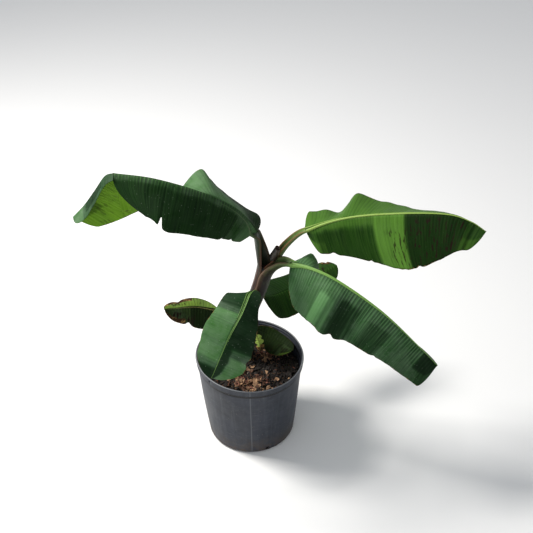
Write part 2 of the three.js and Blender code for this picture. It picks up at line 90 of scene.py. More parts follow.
# A leaf: the line of its stalk and midrib, the point where the blade starts, the bearing of its
# right-hand side along the blade, the stalk's half width and depth at its foot and at the blade,
# and the same for the midrib's tip. A half: the share of the blade it covers, its breadth, how
# steeply it leaves the midrib (droop), how much more it bends before its edge (curl), how far
# its veins lean toward the tip (sweep), and the shares that are rounded off at its ends. A half
# without a span covers the whole blade, and one without a sweep has veins that don't lean.
LEAVES = {
    "left_leaf": dict(
        line=[(44, 15, 496), (36, 2, 565), (27, -18, 618), (1, -38, 674), (-35, -60, 720),
              (-96, -85, 769), (-185, -92, 806), (-272, -70, 810)],
        blade_from=2, across=[85, 100, 110, 105, 75], stalk=[(18, 15), (17, 12)], tip=(3, 3),
        stalk_across=30,
        halves=dict(
            left=dict(nodes=("left_front", "left_end"),
                      widths=[36, 54, 66, 76, 84, 91, 97, 101, 103, 88, 82, 82, 80],
                      droop=[50, 50, 49, 47, 45, 46, 50], curl=20,
                      sweep=[-0.15, -0.08, 0, 0, 0, 0, 0, 0, -0.02, -0.1, -0.3, -0.6, -0.95],
                      ends=(0.05, 0)),
            right=dict(nodes=("right_crest", "right_fall"),
                       widths=[56, 68, 82, 94, 105, 111, 111, 110, 111, 111, 110, 109, 108],
                       droop=[-18, 2, 6, 3, -4, -10, 18, 38, 52, 58, 62, 68, 75], curl=8,
                       sweep=[-0.5, -0.25, -0.05, 0, 0, 0, 0], ends=(0.05, 0)),
        ),
    ),
    "left_leaf_tip": dict(
        line=[(-270, -70, 810), (-291, -62, 799), (-318, -52, 760), (-347, -44, 720),
              (-377, -38, 687)],
        blade_from=0, across=[50, 40], stalk=[(3, 3), (3, 3)],
        halves=dict(
            left=dict(widths=[16, 30, 40, 40], droop=[50], curl=10, ends=(0, 0.25)),
            right=dict(widths=[104, 108, 98, 74, 50], droop=[66, 55, 45, 45, 45],
                       curl=10, ends=(0, 0.1)),
        ),
    ),
    "lower_right_leaf": dict(
        line=[(46, 14, 486), (70, -8, 524), (102, -30, 540), (188, -90, 539), (296, -150, 484),
              (387, -190, 402), (427, -206, 360)],
        blade_from=2, across=[-100, -105, -120, -130], stalk=[(19, 19), (13, 13)],
        halves=dict(
            right=dict(nodes=("right_upper", "right_lower"),
                       widths=[78, 96, 109, 118, 122, 112, 101, 90, 80, 73, 66],
                       droop=[50, 46, 40, 36, 60, 62, 52, 46, 44, 42, 40], curl=15,
                       sweep=[-0.16, -0.04, 0.04, 0.08, 0.06, 0.08, 0.3], ends=(0.14, 0.03)),
            left=dict(widths=[36, 54, 48, 46, 52, 60, 66, 72, 74, 76, 78, 78, 76, 74, 70, 66, 62,
                              60, 58, 56, 55],
                      droop=[12, -8, 2, 34, 42, 46, 48, 50, 52, 55, 55, 55, 55, 54, 52, 50, 46,
                             42, 38, 36, 35], curl=20, ends=(0.04, 0.04)),
        ),
    ),
    "upper_right_leaf": dict(
        line=[(47, 17, 500), (69, 14, 524), (97, 4, 572), (137, -15, 618), (225, -42, 664),
              (330, -85, 697), (425, -131, 719), (472, -157, 715), (502, -177, 701)],
        blade_from=3, across=[-80, -100, -113, -112, -105], stalk=[(12, 12), (8, 8)],
        halves=dict(
            right=dict(widths=[60, 82, 106, 123, 113, 86, 48],
                       droop=[50, 50, 50, 45, 40], curl=15,
                       sweep=[-0.1, 0.05, 0.15, 0.2, 0.1, 0.1, 0.1], ends=(0.05, 0.045)),
            left=dict(widths=[76, 88, 112, 106, 98, 94, 88, 80],
                      droop=[8, 13, 14, 22, 12, 1, 6, 11, 14, 17, 20, 23, 25, 26, 27, 28, 29, 30,
                             31, 32, 34], curl=4, sweep=[-0.2, -0.05, 0, 0, 0, 0, 0],
                      ends=(0.02, 0.2)),
        ),
    ),
    "front_leaf": dict(
        line=[(29, 18, 404), (16, -8, 445), (5, -30, 456), (-4, -50, 447), (-19, -75, 425),
              (-44, -110, 396), (-66, -130, 352), (-92, -142, 292)],
        blade_from=1, across=[200, 180, 168, 160, 160], stalk=[(9, 8), (6, 6)],
        halves=dict(
            right=dict(span=(0.02, 1), widths=[45, 58, 64, 66, 58, 40],
                       droop=[15, 10, 0, -2, -32], curl=10, ends=(0.12, 0.2)),
            left=dict(span=(0.02, 1), widths=[30, 38, 56, 66, 66, 50],
                      droop=[15, 20, 10, 0], curl=10, ends=(0.12, 0.2)),
        ),
    ),
    "back_leaf": dict(
        line=[(30, 30, 398), (40, 58, 380), (80, 108, 348), (150, 155, 350), (240, 200, 366)],
        blade_from=1, across=[-50, -60], stalk=[(8, 8), (5, 5)],
        halves=dict(
            right=dict(widths=[48, 66, 66, 56, 45, 34], droop=[30], curl=20, ends=(0.15, 0.15)),
            left=dict(widths=[42, 66, 72, 60, 52, 46], droop=[0], curl=15, ends=(0.15, 0.15)),
        ),
    ),
    "lower_left_leaf": dict(
        line=[(2, 38, 340), (-75, 50, 350), (-132, 50, 362), (-181, 40, 366), (-207, 30, 372)],
        blade_from=1, across=[90, 100], stalk=[(7, 7), (5, 5)],
        halves=dict(
            left=dict(widths=[52, 56, 44, 20], droop=[55], curl=20,
                      sweep=[-0.3, 0, 0], ends=(0.2, 0.2)),
            right=dict(widths=[25, 38, 38, 20], droop=[0], curl=20, ends=(0.2, 0.2)),
        ),
    ),
    "pot_leaf": dict(
        line=[(-6, 42, 285), (18, 74, 260), (54, 76, 238), (88, 52, 228), (113, 25, 228)],
        blade_from=1, across=[-90, -130], stalk=[(6, 6), (4, 4)],
        halves=dict(
            right=dict(widths=[25, 42, 46, 30], droop=[10], curl=10, ends=(0.2, 0.2)),
            left=dict(widths=[15, 22, 20, 12], droop=[-25], curl=10, ends=(0.2, 0.2)),
        ),
    ),
    "withered_leaf": dict(
        line=[(-2, 34, 312), (14, 10, 306), (24, -4, 288), (28, -14, 262)],
        blade_from=1, across=[150, 170], stalk=[(4, 4), (3, 3)],
        halves=dict(
            right=dict(span=(0.2, 1), widths=[15, 19, 16], droop=[30], curl=10, ends=(0.2, 0.3)),
            left=dict(span=(0.2, 1), widths=[11, 13, 12], droop=[30], curl=10, ends=(0.2, 0.3)),
        ),
    ),
}


# ---------------------------------------------------------------- curves and values
def with_ends(points):
    """The points with one more at each end, mirrored through it."""
    return np.concatenate([[2 * points[0] - points[1]], points, [2 * points[-1] - points[-2]]])


def between(a, b, c, d, t):
    """A smooth curve from b at t = 0 to c at t = 1, led by the neighbours a and d."""
    square = 2 * a - 5 * b + 4 * c - d
    cube = 3 * b - a - 3 * c + d
    return 0.5 * (2 * b + (c - a) * t + square * t**2 + cube * t**3)


def along(values, share):
    """Values at shares 0..1 along evenly spaced values, on a smooth curve through them."""
    values = np.asarray(values, float)
    share = np.asarray(share, float)
    if len(values) == 1:
        return np.full(share.shape, values[0])
    place = np.clip(share, 0, 1) * (len(values) - 1)
    i = np.minimum(place.astype(int), len(values) - 2)
    padded = with_ends(values)
    return between(padded[i], padded[i + 1], padded[i + 2], padded[i + 3], place - i)


def wander(x, seed, step):
    """Smooth seeded noise in -1..1 along x, with a new value every step."""
    rng = np.random.RandomState(seed)
    table = rng.uniform(-1, 1, 512)
    place = np.asarray(x, float) / step + 100
    i = np.floor(place).astype(int)
    t = place - i
    t = t * t * (3 - 2 * t)
    return table[i % 512] * (1 - t) + table[(i + 1) % 512] * t


def smooth_step(low, high, x):
    t = np.clip((x - low) / np.maximum(high - low, 1e-6), 0, 1)
    return t * t * (3 - 2 * t)


def unit(v):
    return v / np.linalg.norm(v, axis=-1, keepdims=True)


class Line:
    """A smooth line through points in millimetres, read by length along it."""

    def __init__(self, points, per_step=120):
        points = np.array(points, float)
        ends = with_ends(points)
        t = np.linspace(0, 1, per_step, endpoint=False)[:, None]
        runs = [between(*four, t) for four in zip(ends, ends[1:], ends[2:], ends[3:])]
        self.path = np.vstack(runs + [points[-1:]])
        steps = np.linalg.norm(np.diff(self.path, axis=0), axis=1)
        self.lengths = np.concatenate([[0], np.cumsum(steps)])
        self.at_points = self.lengths[::per_step]
        self.total = self.lengths[-1]

    def at(self, length):
        return np.stack([np.interp(length, self.lengths, self.path[:, k]) for k in range(3)], -1)

    def ahead(self, length, reach):
        low = np.maximum(length - reach, 0)
        high = np.minimum(length + reach, self.total)
        return unit(self.at(high) - self.at(low))


class LeafLine(Line):
    """The line of a stalk and midrib, with the leaf's right-hand side and upper side along it."""

    def __init__(self, leaf):
        super().__init__(leaf["line"])
        self.blade_at = self.at_points[leaf["blade_from"]]
        self.blade_length = self.total - self.blade_at
        self.across = leaf["across"]
        self.foot_turn = leaf.get("stalk_across", leaf["across"][0]) - leaf["across"][0]
        self.reach = min(LINE_SMOOTHING, self.total * 0.1)

    def frame(self, length):
        share = (length - self.blade_at) / self.blade_length
        in_stalk = 1 - smooth_step(0.35, 0.95, length / max(self.blade_at, 1))
        bearing = np.radians(along(self.across, share) + self.foot_turn * in_stalk)
        ahead = self.ahead(length, self.reach)
        side = np.stack([np.cos(bearing), np.sin(bearing), 0 * bearing], -1)
        side = unit(side - (side * ahead).sum(-1, keepdims=True) * ahead)
        return self.at(length), ahead, side, np.cross(side, ahead)


# ---------------------------------------------------------------- meshes
def new_piece(name, points, faces, materials, face_material=None, uvs=None, marks=None,
              smooth=True):
    """A mesh object from points in millimetres; faces is a list of index arrays (quads, tris)."""
    mesh = bpy.data.meshes.new(name)
    mesh.vertices.add(len(points))
    mesh.vertices.foreach_set("co", (np.asarray(points, float) * MM).ravel())
    counts = np.concatenate([np.full(len(f), f.shape[1]) for f in faces])
    corners = np.concatenate([f.ravel() for f in faces])
    mesh.loops.add(len(corners))
    mesh.loops.foreach_set("vertex_index", corners.astype(np.int32))
    mesh.polygons.add(len(counts))
    starts = np.concatenate([[0], np.cumsum(counts)[:-1]])
    mesh.polygons.foreach_set("loop_start", starts.astype(np.int32))
    mesh.update(calc_edges=True)
    mesh.polygons.foreach_set("use_smooth", np.full(len(counts), smooth))
    for material in materials:
        mesh.materials.append(material)
    if face_material is not None:
        mesh.polygons.foreach_set("material_index", np.asarray(face_material, np.int32))
    if uvs is not None:
        layer = mesh.uv_layers.new(name="OFBake")
        layer.data.foreach_set("uv", np.asarray(uvs, float).ravel())
    for key, values in (marks or {}).items():
        mark = mesh.attributes.new(key, "FLOAT", "POINT")
        mark.data.foreach_set("value", np.asarray(values, float))
    mesh.validate()
    mesh.update()
    piece = bpy.data.objects.new(name, mesh)
    bpy.context.collection.objects.link(piece)
    return piece


def grid_quads(rows, columns, first=0, loop=False):
    """Quads over a grid of points; loop joins the last column to the first."""
    i = np.arange(rows - 1)[:, None] * columns
    last = columns if loop else columns - 1
    j = np.arange(last)[None]
    k = (j + 1) % columns
    quads = np.stack([i + j, i + k, i + columns + k, i + columns + j], -1)
    return quads.reshape(-1, 4) + first


def tube_faces(rows, count):
    """The wall of a tube and the caps of both its ends, from rings with an even count of points."""
    i = np.arange(count // 2 - 1)
    cap = np.stack([i, count - 1 - i, count - 2 - i, i + 1], -1)
    wall = grid_quads(rows, count, loop=True)[:, ::-1]
    return [wall, np.vstack([cap[:, ::-1], cap + (rows - 1) * count])]


def tube_mesh(centres, sides, ups, outline, widths, depths):
    """Rings of one outline (n, 2) swept along a line, with capped ends."""
    ring = outline[None] if outline.ndim == 2 else outline
    points = (
        centres[:, None]
        + sides[:, None] * (ring[..., 0:1] * np.asarray(widths)[:, None, None])
        + ups[:, None] * (ring[..., 1:2] * np.asarray(depths)[:, None, None])
    )
    return points.reshape(-1, 3), tube_faces(*points.shape[:2])


# ---------------------------------------------------------------- shader helpers
def node(tree, kind, ins=None, **settings):
    """A shader node; ins holds a plain value or another node's output for each input."""
    made = tree.nodes.new(kind)
    for key, value in settings.items():
        setattr(made, key, value)
    for key, value in (ins or {}).items():
        if isinstance(value, bpy.types.NodeSocket):
            tree.links.new(value, made.inputs[key])
        else:
            made.inputs[key].default_value = value
    return made


def maths(tree, operation, a, b=0.0, clamp=False):
    made = node(tree, "ShaderNodeMath", {0: a, 1: b}, operation=operation, use_clamp=clamp)
    return made.outputs[0]


def spread(tree, value, low, high, out_low=0.0, out_high=1.0):
    """Smoothly maps low..high of a value to out_low..out_high."""
    ins = {"Value": value, "From Min": low, "From Max": high, "To Min": out_low, "To Max": out_high}
    return node(tree, "ShaderNodeMapRange", ins, interpolation_type="SMOOTHSTEP").outputs["Result"]


def blend_colour(tree, share, first, second):
    """A colour between two; 0, 6, 7 and 2 are the mix node's own colour sockets."""
    ins = {0: share, 6: first, 7: second}
    return node(tree, "ShaderNodeMix", ins, data_type="RGBA").outputs[2]


def tinted(tree, colour, tint, mask, amount):
    """The colour with a tint laid over it where the mask is, as strongly as the amount."""
    return blend_colour(tree, maths(tree, "MULTIPLY", mask, amount), colour, tint)


def mark(tree, name):
    return node(tree, "ShaderNodeAttribute", attribute_name=name).outputs["Fac"]


def effect(name, inputs, outputs, build):
    """A shader node group with named inputs {name: default} and outputs, built once."""
    group = bpy.data.node_groups.new(name, "ShaderNodeTree")
    for key, default in inputs.items():
        kind = "NodeSocketVector" if isinstance(default, tuple) else "NodeSocketFloat"
        socket = group.interface.new_socket(key, in_out="INPUT", socket_type=kind)
        socket.default_value = default
    for key in outputs:
        group.interface.new_socket(key, in_out="OUTPUT", socket_type="NodeSocketFloat")
    source = group.nodes.new("NodeGroupInput").outputs
    sink = group.nodes.new("NodeGroupOutput").inputs
    for key, value in build(group, source).items():
        group.links.new(value, sink[key])
    return group


def place(tree, group, **ins):
    return node(tree, "ShaderNodeGroup", ins, node_tree=group).outputs


def build_blotches(tree, source):
    cloud = node(tree, "ShaderNodeTexNoise", {
        "Vector": source["Place"], "Scale": source["Scale"], "Detail": 5.0, "Roughness": 0.6,
        "Distortion": source["Warp"],
    }).outputs["Fac"]
    low = maths(tree, "SUBTRACT", source["Threshold"], source["Softness"])
    high = maths(tree, "ADD", source["Threshold"], source["Softness"])
    return {"Mask": spread(tree, cloud, low, high)}


def build_vein_streaks(tree, source):
    flat = node(tree, "ShaderNodeCombineXYZ", {
        "X": maths(tree, "MULTIPLY", source["Along"], source["Density"]),
        "Y": maths(tree, "MULTIPLY", source["Across"], source["Stretch"]),
        "Z": source["Shift"],
    }).outputs[0]
    streak = node(tree, "ShaderNodeTexNoise", {
        "Vector": flat, "Scale": 1.0, "Detail": 3.0, "Roughness": 0.55, "Distortion": 0.15,
    }).outputs["Fac"]
    return {"Mask": spread(tree, streak, source["Low"], source["High"])}


def build_vein_ribs(tree, source):
    turns = maths(tree, "DIVIDE", source["Along"], source["Pitch"])
    shifted = maths(tree, "ADD", turns, source["Drift"])
    wave = maths(tree, "SINE", maths(tree, "MULTIPLY", shifted, TAU))
    ins = {0: wave, 1: 0.5, 2: 0.5}
    half = node(tree, "ShaderNodeMath", ins, operation="MULTIPLY_ADD").outputs[0]
    return {"Height": half, "Line": maths(tree, "POWER", half, source["Sharpness"])}


def build_speckle(tree, source):
    cells = node(tree, "ShaderNodeTexVoronoi", {
        "Vector": source["Place"], "Scale": source["Scale"], "Randomness": 1.0,
    })
    dot = spread(tree, cells.outputs["Distance"], source["Size"], 0.0)
    pick = node(tree, "ShaderNodeSeparateColor", {"Color": cells.outputs["Color"]}).outputs[0]
    chosen = maths(tree, "LESS_THAN", pick, source["Amount"])
    return {"Mask": maths(tree, "MULTIPLY", dot, chosen)}


def build_grain(tree, source):
    coarse = node(tree, "ShaderNodeTexNoise", {
        "Vector": source["Place"], "Scale": source["Scale"], "Detail": 6.0, "Roughness": 0.65,
    }).outputs["Fac"]
    pits = node(tree, "ShaderNodeTexVoronoi", {
        "Vector": source["Place"], "Scale": maths(tree, "MULTIPLY", source["Scale"], 3.0),
    }, feature="SMOOTH_F1").outputs["Distance"]
    return {"Height": maths(tree, "ADD", coarse, maths(tree, "MULTIPLY", pits, 0.3))}


BLOTCHES = effect("blotches", {
    "Place": (0.0, 0.0, 0.0), "Scale": 20.0, "Threshold": 0.55, "Softness": 0.06, "Warp": 0.3,
}, ["Mask"], build_blotches)
VEIN_STREAKS = effect("vein_streaks", {
    "Along": 0.0, "Across": 0.0, "Density": 120.0, "Stretch": 6.0, "Low": 0.35, "High": 0.7,
    "Shift": 0.0,
}, ["Mask"], build_vein_streaks)
VEIN_RIBS = effect("vein_ribs", {
    "Along": 0.0, "Pitch": 0.0075, "Drift": 0.0, "Sharpness": 3.0,
}, ["Height", "Line"], build_vein_ribs)
SPECKLE = effect("speckle", {
    "Place": (0.0, 0.0, 0.0), "Scale": 300.0, "Size": 0.3, "Amount": 0.2,
}, ["Mask"], build_speckle)
GRAIN = effect("grain", {"Place": (0.0, 0.0, 0.0), "Scale": 200.0}, ["Height"], build_grain)


def blotches(tree, where, **values):
    return place(tree, BLOTCHES, Place=where, **values)["Mask"]


def speckle(tree, where, **values):
    return place(tree, SPECKLE, Place=where, **values)["Mask"]


def streaks(tree, lie, **values):
    """Streaks that follow the veins or fibres; lie is how far along and across them."""
    return place(tree, VEIN_STREAKS, Along=lie[0], Across=lie[1], **values)["Mask"]


def grain(tree, where, scale):
    return place(tree, GRAIN, Place=where, Scale=scale)["Height"]


def finish_of(name):
    """A new material with its tree and the coordinates of the piece it's on."""
    material = bpy.data.materials.new(name)
    material.use_nodes = True
    tree = material.node_tree
    return material, tree, node(tree, "ShaderNodeTexCoord").outputs["Object"]


def finished(material, colour, rough, relief, shine=0.5):
    """The material with its colour, roughness and relief joined to its shader."""
    tree = material.node_tree
    shader = tree.nodes["Principled BSDF"]
    for socket, value in (("Base Color", colour), ("Roughness", rough), ("Normal", relief)):
        tree.links.new(value, shader.inputs[socket])
    shader.inputs["Specular IOR Level"].default_value = shine
    return material


def bump(tree, height, strength, distance, under=None):
    ins = {"Height": height, "Strength": strength, "Distance": distance}
    if under is not None:
        ins["Normal"] = under
    return node(tree, "ShaderNodeBump", ins).outputs["Normal"]


def rgb(red, green, blue):
    """An opaque colour from display values 0..255, made linear."""
    def linear(v):
        v /= 255
        return v / 12.92 if v <= 0.04045 else ((v + 0.055) / 1.055) ** 2.4
    return (linear(red), linear(green), linear(blue), 1.0)


# ---------------------------------------------------------------- leaf finishes
SCORCH = rgb(27, 19, 13)
DRY_EDGE = rgb(52, 36, 22)
DRY_PALE = rgb(134, 108, 66)
# A pale grey-green, partly dust and partly painted sheen on the lit blade.
DUST_AND_SHEEN = rgb(150, 168, 148)
DRIED_DROP = rgb(182, 194, 176)


def leaf_finish(name, deep, mid, light, painted_light, roughness, pleat_highlight=0.35, dust_and_sheen=0.0, shift=0.0,
                comb=0.5):
    """One side of a blade: deep to light greens in streaks that follow its veins, with painted light and painted
    shade laid over them.
    """
    material, tree, where = finish_of(name)
    lie = mark(tree, "along"), mark(tree, "across")
    broad = streaks(tree, lie, Density=32.0, Stretch=7.0, Low=0.3, High=0.7, Shift=shift)
    fine = streaks(tree, lie, Density=420.0, Stretch=14.0, Low=0.3, High=0.72, Shift=shift + 3.0)
    drift = streaks(tree, lie, Density=14.0, Stretch=4.0, Low=0.0, High=1.0, Shift=shift + 7.0)
    hair = place(tree, VEIN_RIBS, Along=lie[0], Pitch=0.00125, Drift=drift, Sharpness=2.0)
    colour = blend_colour(tree, broad, deep, mid)
    # Painted light: where sun falls on the blade or shines through it, it is painted a lighter green, broken up a
    # little by its streaks.
    lit = spread(tree, broad, 1.0, 0.0, 0.72, 1.0)
    colour = tinted(tree, colour, painted_light, mark(tree, "painted_light"), lit)
    colour = tinted(tree, colour, light, fine, 0.22)
    # Painted highlight: the pleat crests near the midrib are painted lighter.
    uneven = maths(tree, "MULTIPLY", broad, 0.25)
    near_rib = spread(tree, maths(tree, "ADD", mark(tree, "reach"), uneven), comb, 0.0)
    crest = spread(tree, mark(tree, "pleat"), 0.6, 0.95)
    colour = tinted(tree, colour, light, maths(tree, "MULTIPLY", crest, near_rib), pleat_highlight)
    # Painted shade: the pleat valleys are painted darker.
    valley = spread(tree, mark(tree, "pleat"), 0.35, 0.0)
    colour = tinted(tree, colour, deep, maths(tree, "MULTIPLY", valley, broad), 0.35)
    # Painted shade: where the shade mark is, the blade is painted a near-black green for its shade and cast
    # shadows.
    shadow = blend_colour(tree, 0.6, deep, rgb(6, 14, 6))
    colour = tinted(tree, colour, shadow, mark(tree, "shade"), 0.92)
    # Part dust and part painted sheen: a pale haze, kept mostly off the shaded parts; the specks are dried drops.
    if dust_and_sheen:
        haze = blotches(tree, where, Scale=26.0, Threshold=0.5, Softness=0.25, Warp=0.5)
        sunlit = spread(tree, mark(tree, "shade"), 0.6, 0.0, 0.15, 1.0)
        colour = tinted(tree, colour, DUST_AND_SHEEN, haze, maths(tree, "MULTIPLY", sunlit, dust_and_sheen))
        drops = speckle(tree, where, Scale=230.0, Size=0.26, Amount=0.16)
        colour = tinted(tree, colour, DRIED_DROP, drops, min(1.0, 2.2 * dust_and_sheen))
    scar = streaks(tree, lie, Density=180.0, Stretch=38.0, Low=0.54, High=0.62, Shift=shift + 11.0)
    colour = tinted(tree, colour, SCORCH, scar, mark(tree, "scorch"))
    frayed = streaks(tree, lie, Density=90.0, Stretch=40.0, Low=0.35, High=0.65, Shift=shift + 5.0)
    dead = maths(tree, "MULTIPLY", mark(tree, "dry"), 1.6)
    dead = maths(tree, "SUBTRACT", dead, maths(tree, "MULTIPLY", frayed, 0.45), clamp=True)
    parched = blotches(tree, where, Scale=90.0, Threshold=0.55, Softness=0.08, Warp=0.4)
    brown = blend_colour(tree, parched, DRY_EDGE, DRY_PALE)
    colour = blend_colour(tree, spread(tree, dead, 0.25, 0.6), colour, brown)
    rough = spread(tree, fine, 0.0, 1.0, roughness - 0.05, roughness + 0.08)
    relief = bump(tree, hair["Height"], 0.35, 0.0002)
    relief = bump(tree, grain(tree, where, 260.0), 0.18, 0.0005, relief)
    return finished(material, colour, rough, relief, shine=0.03)


def stalk_finish(name, green, pale, rim, dark, dark_amount, roughness=0.42):
    """Stalk and midrib: long fibres, a coloured rim on each edge, darker toward the foot."""
    material, tree, where = finish_of(name)
    lie = mark(tree, "around"), mark(tree, "along")
    lengthwise = streaks(tree, lie, Density=5.0, Stretch=9.0, Low=0.3, High=0.72, Shift=0.0)
    fibres = streaks(tree, lie, Density=40.0, Stretch=22.0, Low=0.3, High=0.7, Shift=4.0)
    colour = tinted(tree, green, pale, lengthwise, 0.5)
    colour = tinted(tree, colour, pale, fibres, 0.2)
    in_blade, near_foot = mark(tree, "in_blade"), mark(tree, "foot")
    colour = blend_colour(tree, in_blade, colour, pale)
    patches = blotches(tree, where, Scale=34.0, Threshold=0.52, Softness=0.12, Warp=1.0)
    stained = maths(tree, "MULTIPLY", patches, maths(tree, "MULTIPLY", near_foot, 0.5))
    foot = maths(tree, "MULTIPLY", near_foot, dark_amount)
    colour = blend_colour(tree, maths(tree, "ADD", foot, stained, clamp=True), colour, dark)
    bare = spread(tree, in_blade, 1.0, 0.0, 0.2, 1.0)
    colour = tinted(tree, colour, rim, mark(tree, "rim"), bare)
    rough = spread(tree, fibres, 0.0, 1.0, roughness - 0.04, roughness + 0.1)
    relief = bump(tree, fibres, 0.4, 0.0004)
    relief = bump(tree, grain(tree, where, 180.0), 0.2, 0.0006, relief)
    return finished(material, colour, rough, relief, shine=0.25)


# ---------------------------------------------------------------- leaf shapes
BLADE_ROW = 1.3  # mm between rows of points along a blade
BLADE_COLUMNS = 22
THICK_AT_RIB = 0.9
THICK_AT_EDGE = 0.45
PLEAT_PITCH = 7.5


def breadth(half, share):
    start, end = half["ends"]
    width = along(half["widths"], share)
    if start:
        width = width * np.sqrt(1 - (1 - np.minimum(share / start, 1)) ** 2)
    if end:
        width = width * np.sqrt(1 - (1 - np.minimum((1 - share) / end, 1)) ** 2)
    return np.maximum(width, 1.5)


def patch(share, reach, low, high, inner, outer, soft=0.06, crisp=0.02):
    """A patch of a blade between two shares along it and two reaches across it."""
    lengthwise = smooth_step(low - crisp, low + crisp, share)
    lengthwise = lengthwise * (1 - smooth_step(high - crisp, high + crisp, share))
    crosswise = smooth_step(inner - soft, inner + soft, reach) * (
        1 - smooth_step(outer - soft, outer + soft, reach))
    return lengthwise * crosswise


def painted(half, share, reach, millimetres, seed):
    """Where a half is painted lit or shaded, where it is dry or scorched, from its patches, and its dry outer rim.
    """
    jitter = 0.02 * wander(millimetres, seed + 5, 9)[:, None]
    marks = {}
    for key in ("painted_light", "shade", "dry", "scorch"):
        marks[key] = np.zeros(reach.shape)
        for strength, *edges in half.get(key, []):
            mask = strength * patch(share + jitter, reach + jitter, *edges)
            marks[key] = np.maximum(marks[key], mask)
    rim_dry = half.get("rim_dry", 0.0)
    if rim_dry:
        uneven = 0.5 + 0.5 * wander(millimetres, seed + 6, 13)[:, None]
        edge = smooth_step(0.99 - 0.25 * rim_dry * uneven, 1.0, reach)
        marks["dry"] = np.maximum(marks["dry"], min(1.0, 0.45 + rim_dry) * edge)
    return marks


def blade_half(leaf, run, half, seed, pleat, ripple, root_share):
    """Points and marks of one half of a blade: upper and lower grids (rows, columns, 3)."""
    low, high = half.get("span", (0, 1))
    rows = max(24, int((high - low) * run.blade_length / BLADE_ROW))
    share = np.linspace(0, 1, rows)
    whole = low + (high - low) * share
    length = run.blade_at + run.blade_length * whole
    centre, ahead, side, up = run.frame(length)
    millimetres = whole * run.blade_length
    width = breadth(half, share)
    ragged = 0.005 * wander(millimetres, seed, 9) + 0.012 * wander(millimetres, seed + 1, 31)
    width = width * (1 + ragged)
    for at, deep, wide in half.get("nicks", []):
        width = width * (1 - deep * np.exp(-(((share - at) / wide) ** 2)))
    neck, tip = leaf["stalk"][1][0], leaf.get("tip", RIB_TIP)[0]
    root = root_share * (neck + (tip - neck) * whole)
    reach = np.linspace(0, 1, BLADE_COLUMNS)[None] ** 0.9
    reach = np.minimum(root / width, 0.5)[:, None] * (1 - reach) + reach
    droop = np.radians(along(half["droop"], share))[:, None]
    curl = math.radians(half["curl"])
    tilt = droop + curl * reach
    out = (np.sin(tilt) - np.sin(droop)) / curl
    down = (np.cos(droop) - np.cos(tilt)) / curl
    outward = half["side"] * side[:, None]
    facing = np.cos(tilt)[..., None] * up[:, None] + np.sin(tilt)[..., None] * outward
    w = width[:, None, None]
    middle = (
        centre[:, None]
        + w * (out[..., None] * outward - down[..., None] * up[:, None])
        + ahead[:, None] * w * (along(half.get("sweep", [0]), share)[:, None] * reach**2)[..., None]
    )
    phase = millimetres / PLEAT_PITCH + 0.45 * wander(millimetres, seed + 2, 34)
    fold = pleat * np.sin(TAU * phase)[:, None] * smooth_step(0, 0.1, reach) * (1 - 0.8 * reach)
    swell = ripple * wander(millimetres, seed + 3, 46)[:, None] * reach**1.6
    swell = swell + 0.35 * ripple * wander(millimetres, seed + 4, 19)[:, None] * reach**1.4
    middle = middle + facing * (fold + swell)[..., None]
    thick = (THICK_AT_RIB + (THICK_AT_EDGE - THICK_AT_RIB) * reach)[..., None] / 2
    marks = dict(
        along=np.repeat(millimetres[:, None] * MM, BLADE_COLUMNS, 1),
        across=reach * width[:, None] * MM,
        reach=reach,
        pleat=np.repeat(0.5 + 0.5 * np.sin(TAU * phase)[:, None], BLADE_COLUMNS, 1),
    )
    marks.update(painted(half, share[:, None], reach, millimetres, seed))
    return middle + facing * thick, middle - facing * thick, marks


def sheet_faces(rows, columns, flip, strip, strips):
    """Faces, UVs and side numbers of one closed sheet: upper grid, lower grid and its rim."""
    count = rows * columns
    upper = grid_quads(rows, columns)
    lower = upper[:, ::-1] + count
    index = np.arange(count).reshape(rows, columns)
    borders = []
    for line, turn in ((index[:, 0], 0), (index[:, -1], 1), (index[0], 1), (index[-1], 0)):
        quad = np.stack([line[:-1], line[1:], line[1:] + count, line[:-1] + count], -1)
        borders.append(quad[:, [0, 3, 2, 1]] if turn else quad)
    faces = np.vstack([upper, lower] + borders)
    if flip:
        faces = faces[:, ::-1]
    u, v = np.linspace(0.01, 0.99, rows), np.linspace(0.03, 0.92, columns)
    flat = np.stack(np.meshgrid(u, v, indexing="ij"), -1).reshape(-1, 2)
    top_uv = (flat + [0, 2 * strip]) / [1, 2 * strips]
    low_uv = (flat + [0, 2 * strip + 1]) / [1, 2 * strips]
    both = np.vstack([top_uv, low_uv])
    uvs = both[faces]
    rim = len(upper) + len(lower)
    on_top = faces[rim:] % count
    uvs[rim:] = top_uv[on_top] + (faces[rim:] >= count)[..., None] * [0.0, 0.01 / strips]
    side = np.zeros(len(faces), int)
    side[len(upper):rim] = 1
    return faces, uvs.reshape(-1, 2), side


def blade_piece(name, leaf, upper_finish, lower_finish, seed, pleat=0.55, ripple=3.0, root=0.35):
    run = LeafLine(leaf)
    halves = leaf["halves"].values()
    points, faces, uvs, sides, marks, first = [], [], [], [], {}, 0
    for strip, half in enumerate(halves):
        above, below, found = blade_half(leaf, run, half, seed + 20 * strip, pleat, ripple, root)
        rows, columns = above.shape[:2]
        quads, flat, side = sheet_faces(rows, columns, half["side"] == LEFT, strip, len(halves))
        points += [above.reshape(-1, 3), below.reshape(-1, 3)]
        faces.append(quads + first)
        uvs.append(flat)
        sides.append(side)
        for key, values in found.items():
            marks.setdefault(key, []).append(np.tile(values.ravel(), 2))
        first += 2 * rows * columns
    return new_piece(
        name, np.vstack(points), [np.vstack(faces)], [upper_finish, lower_finish],
        np.concatenate(sides), np.vstack(uvs),
        {key: np.concatenate(values) for key, values in marks.items()},
    )


STALK_POINTS = 28
STALK_ROW = 4.0


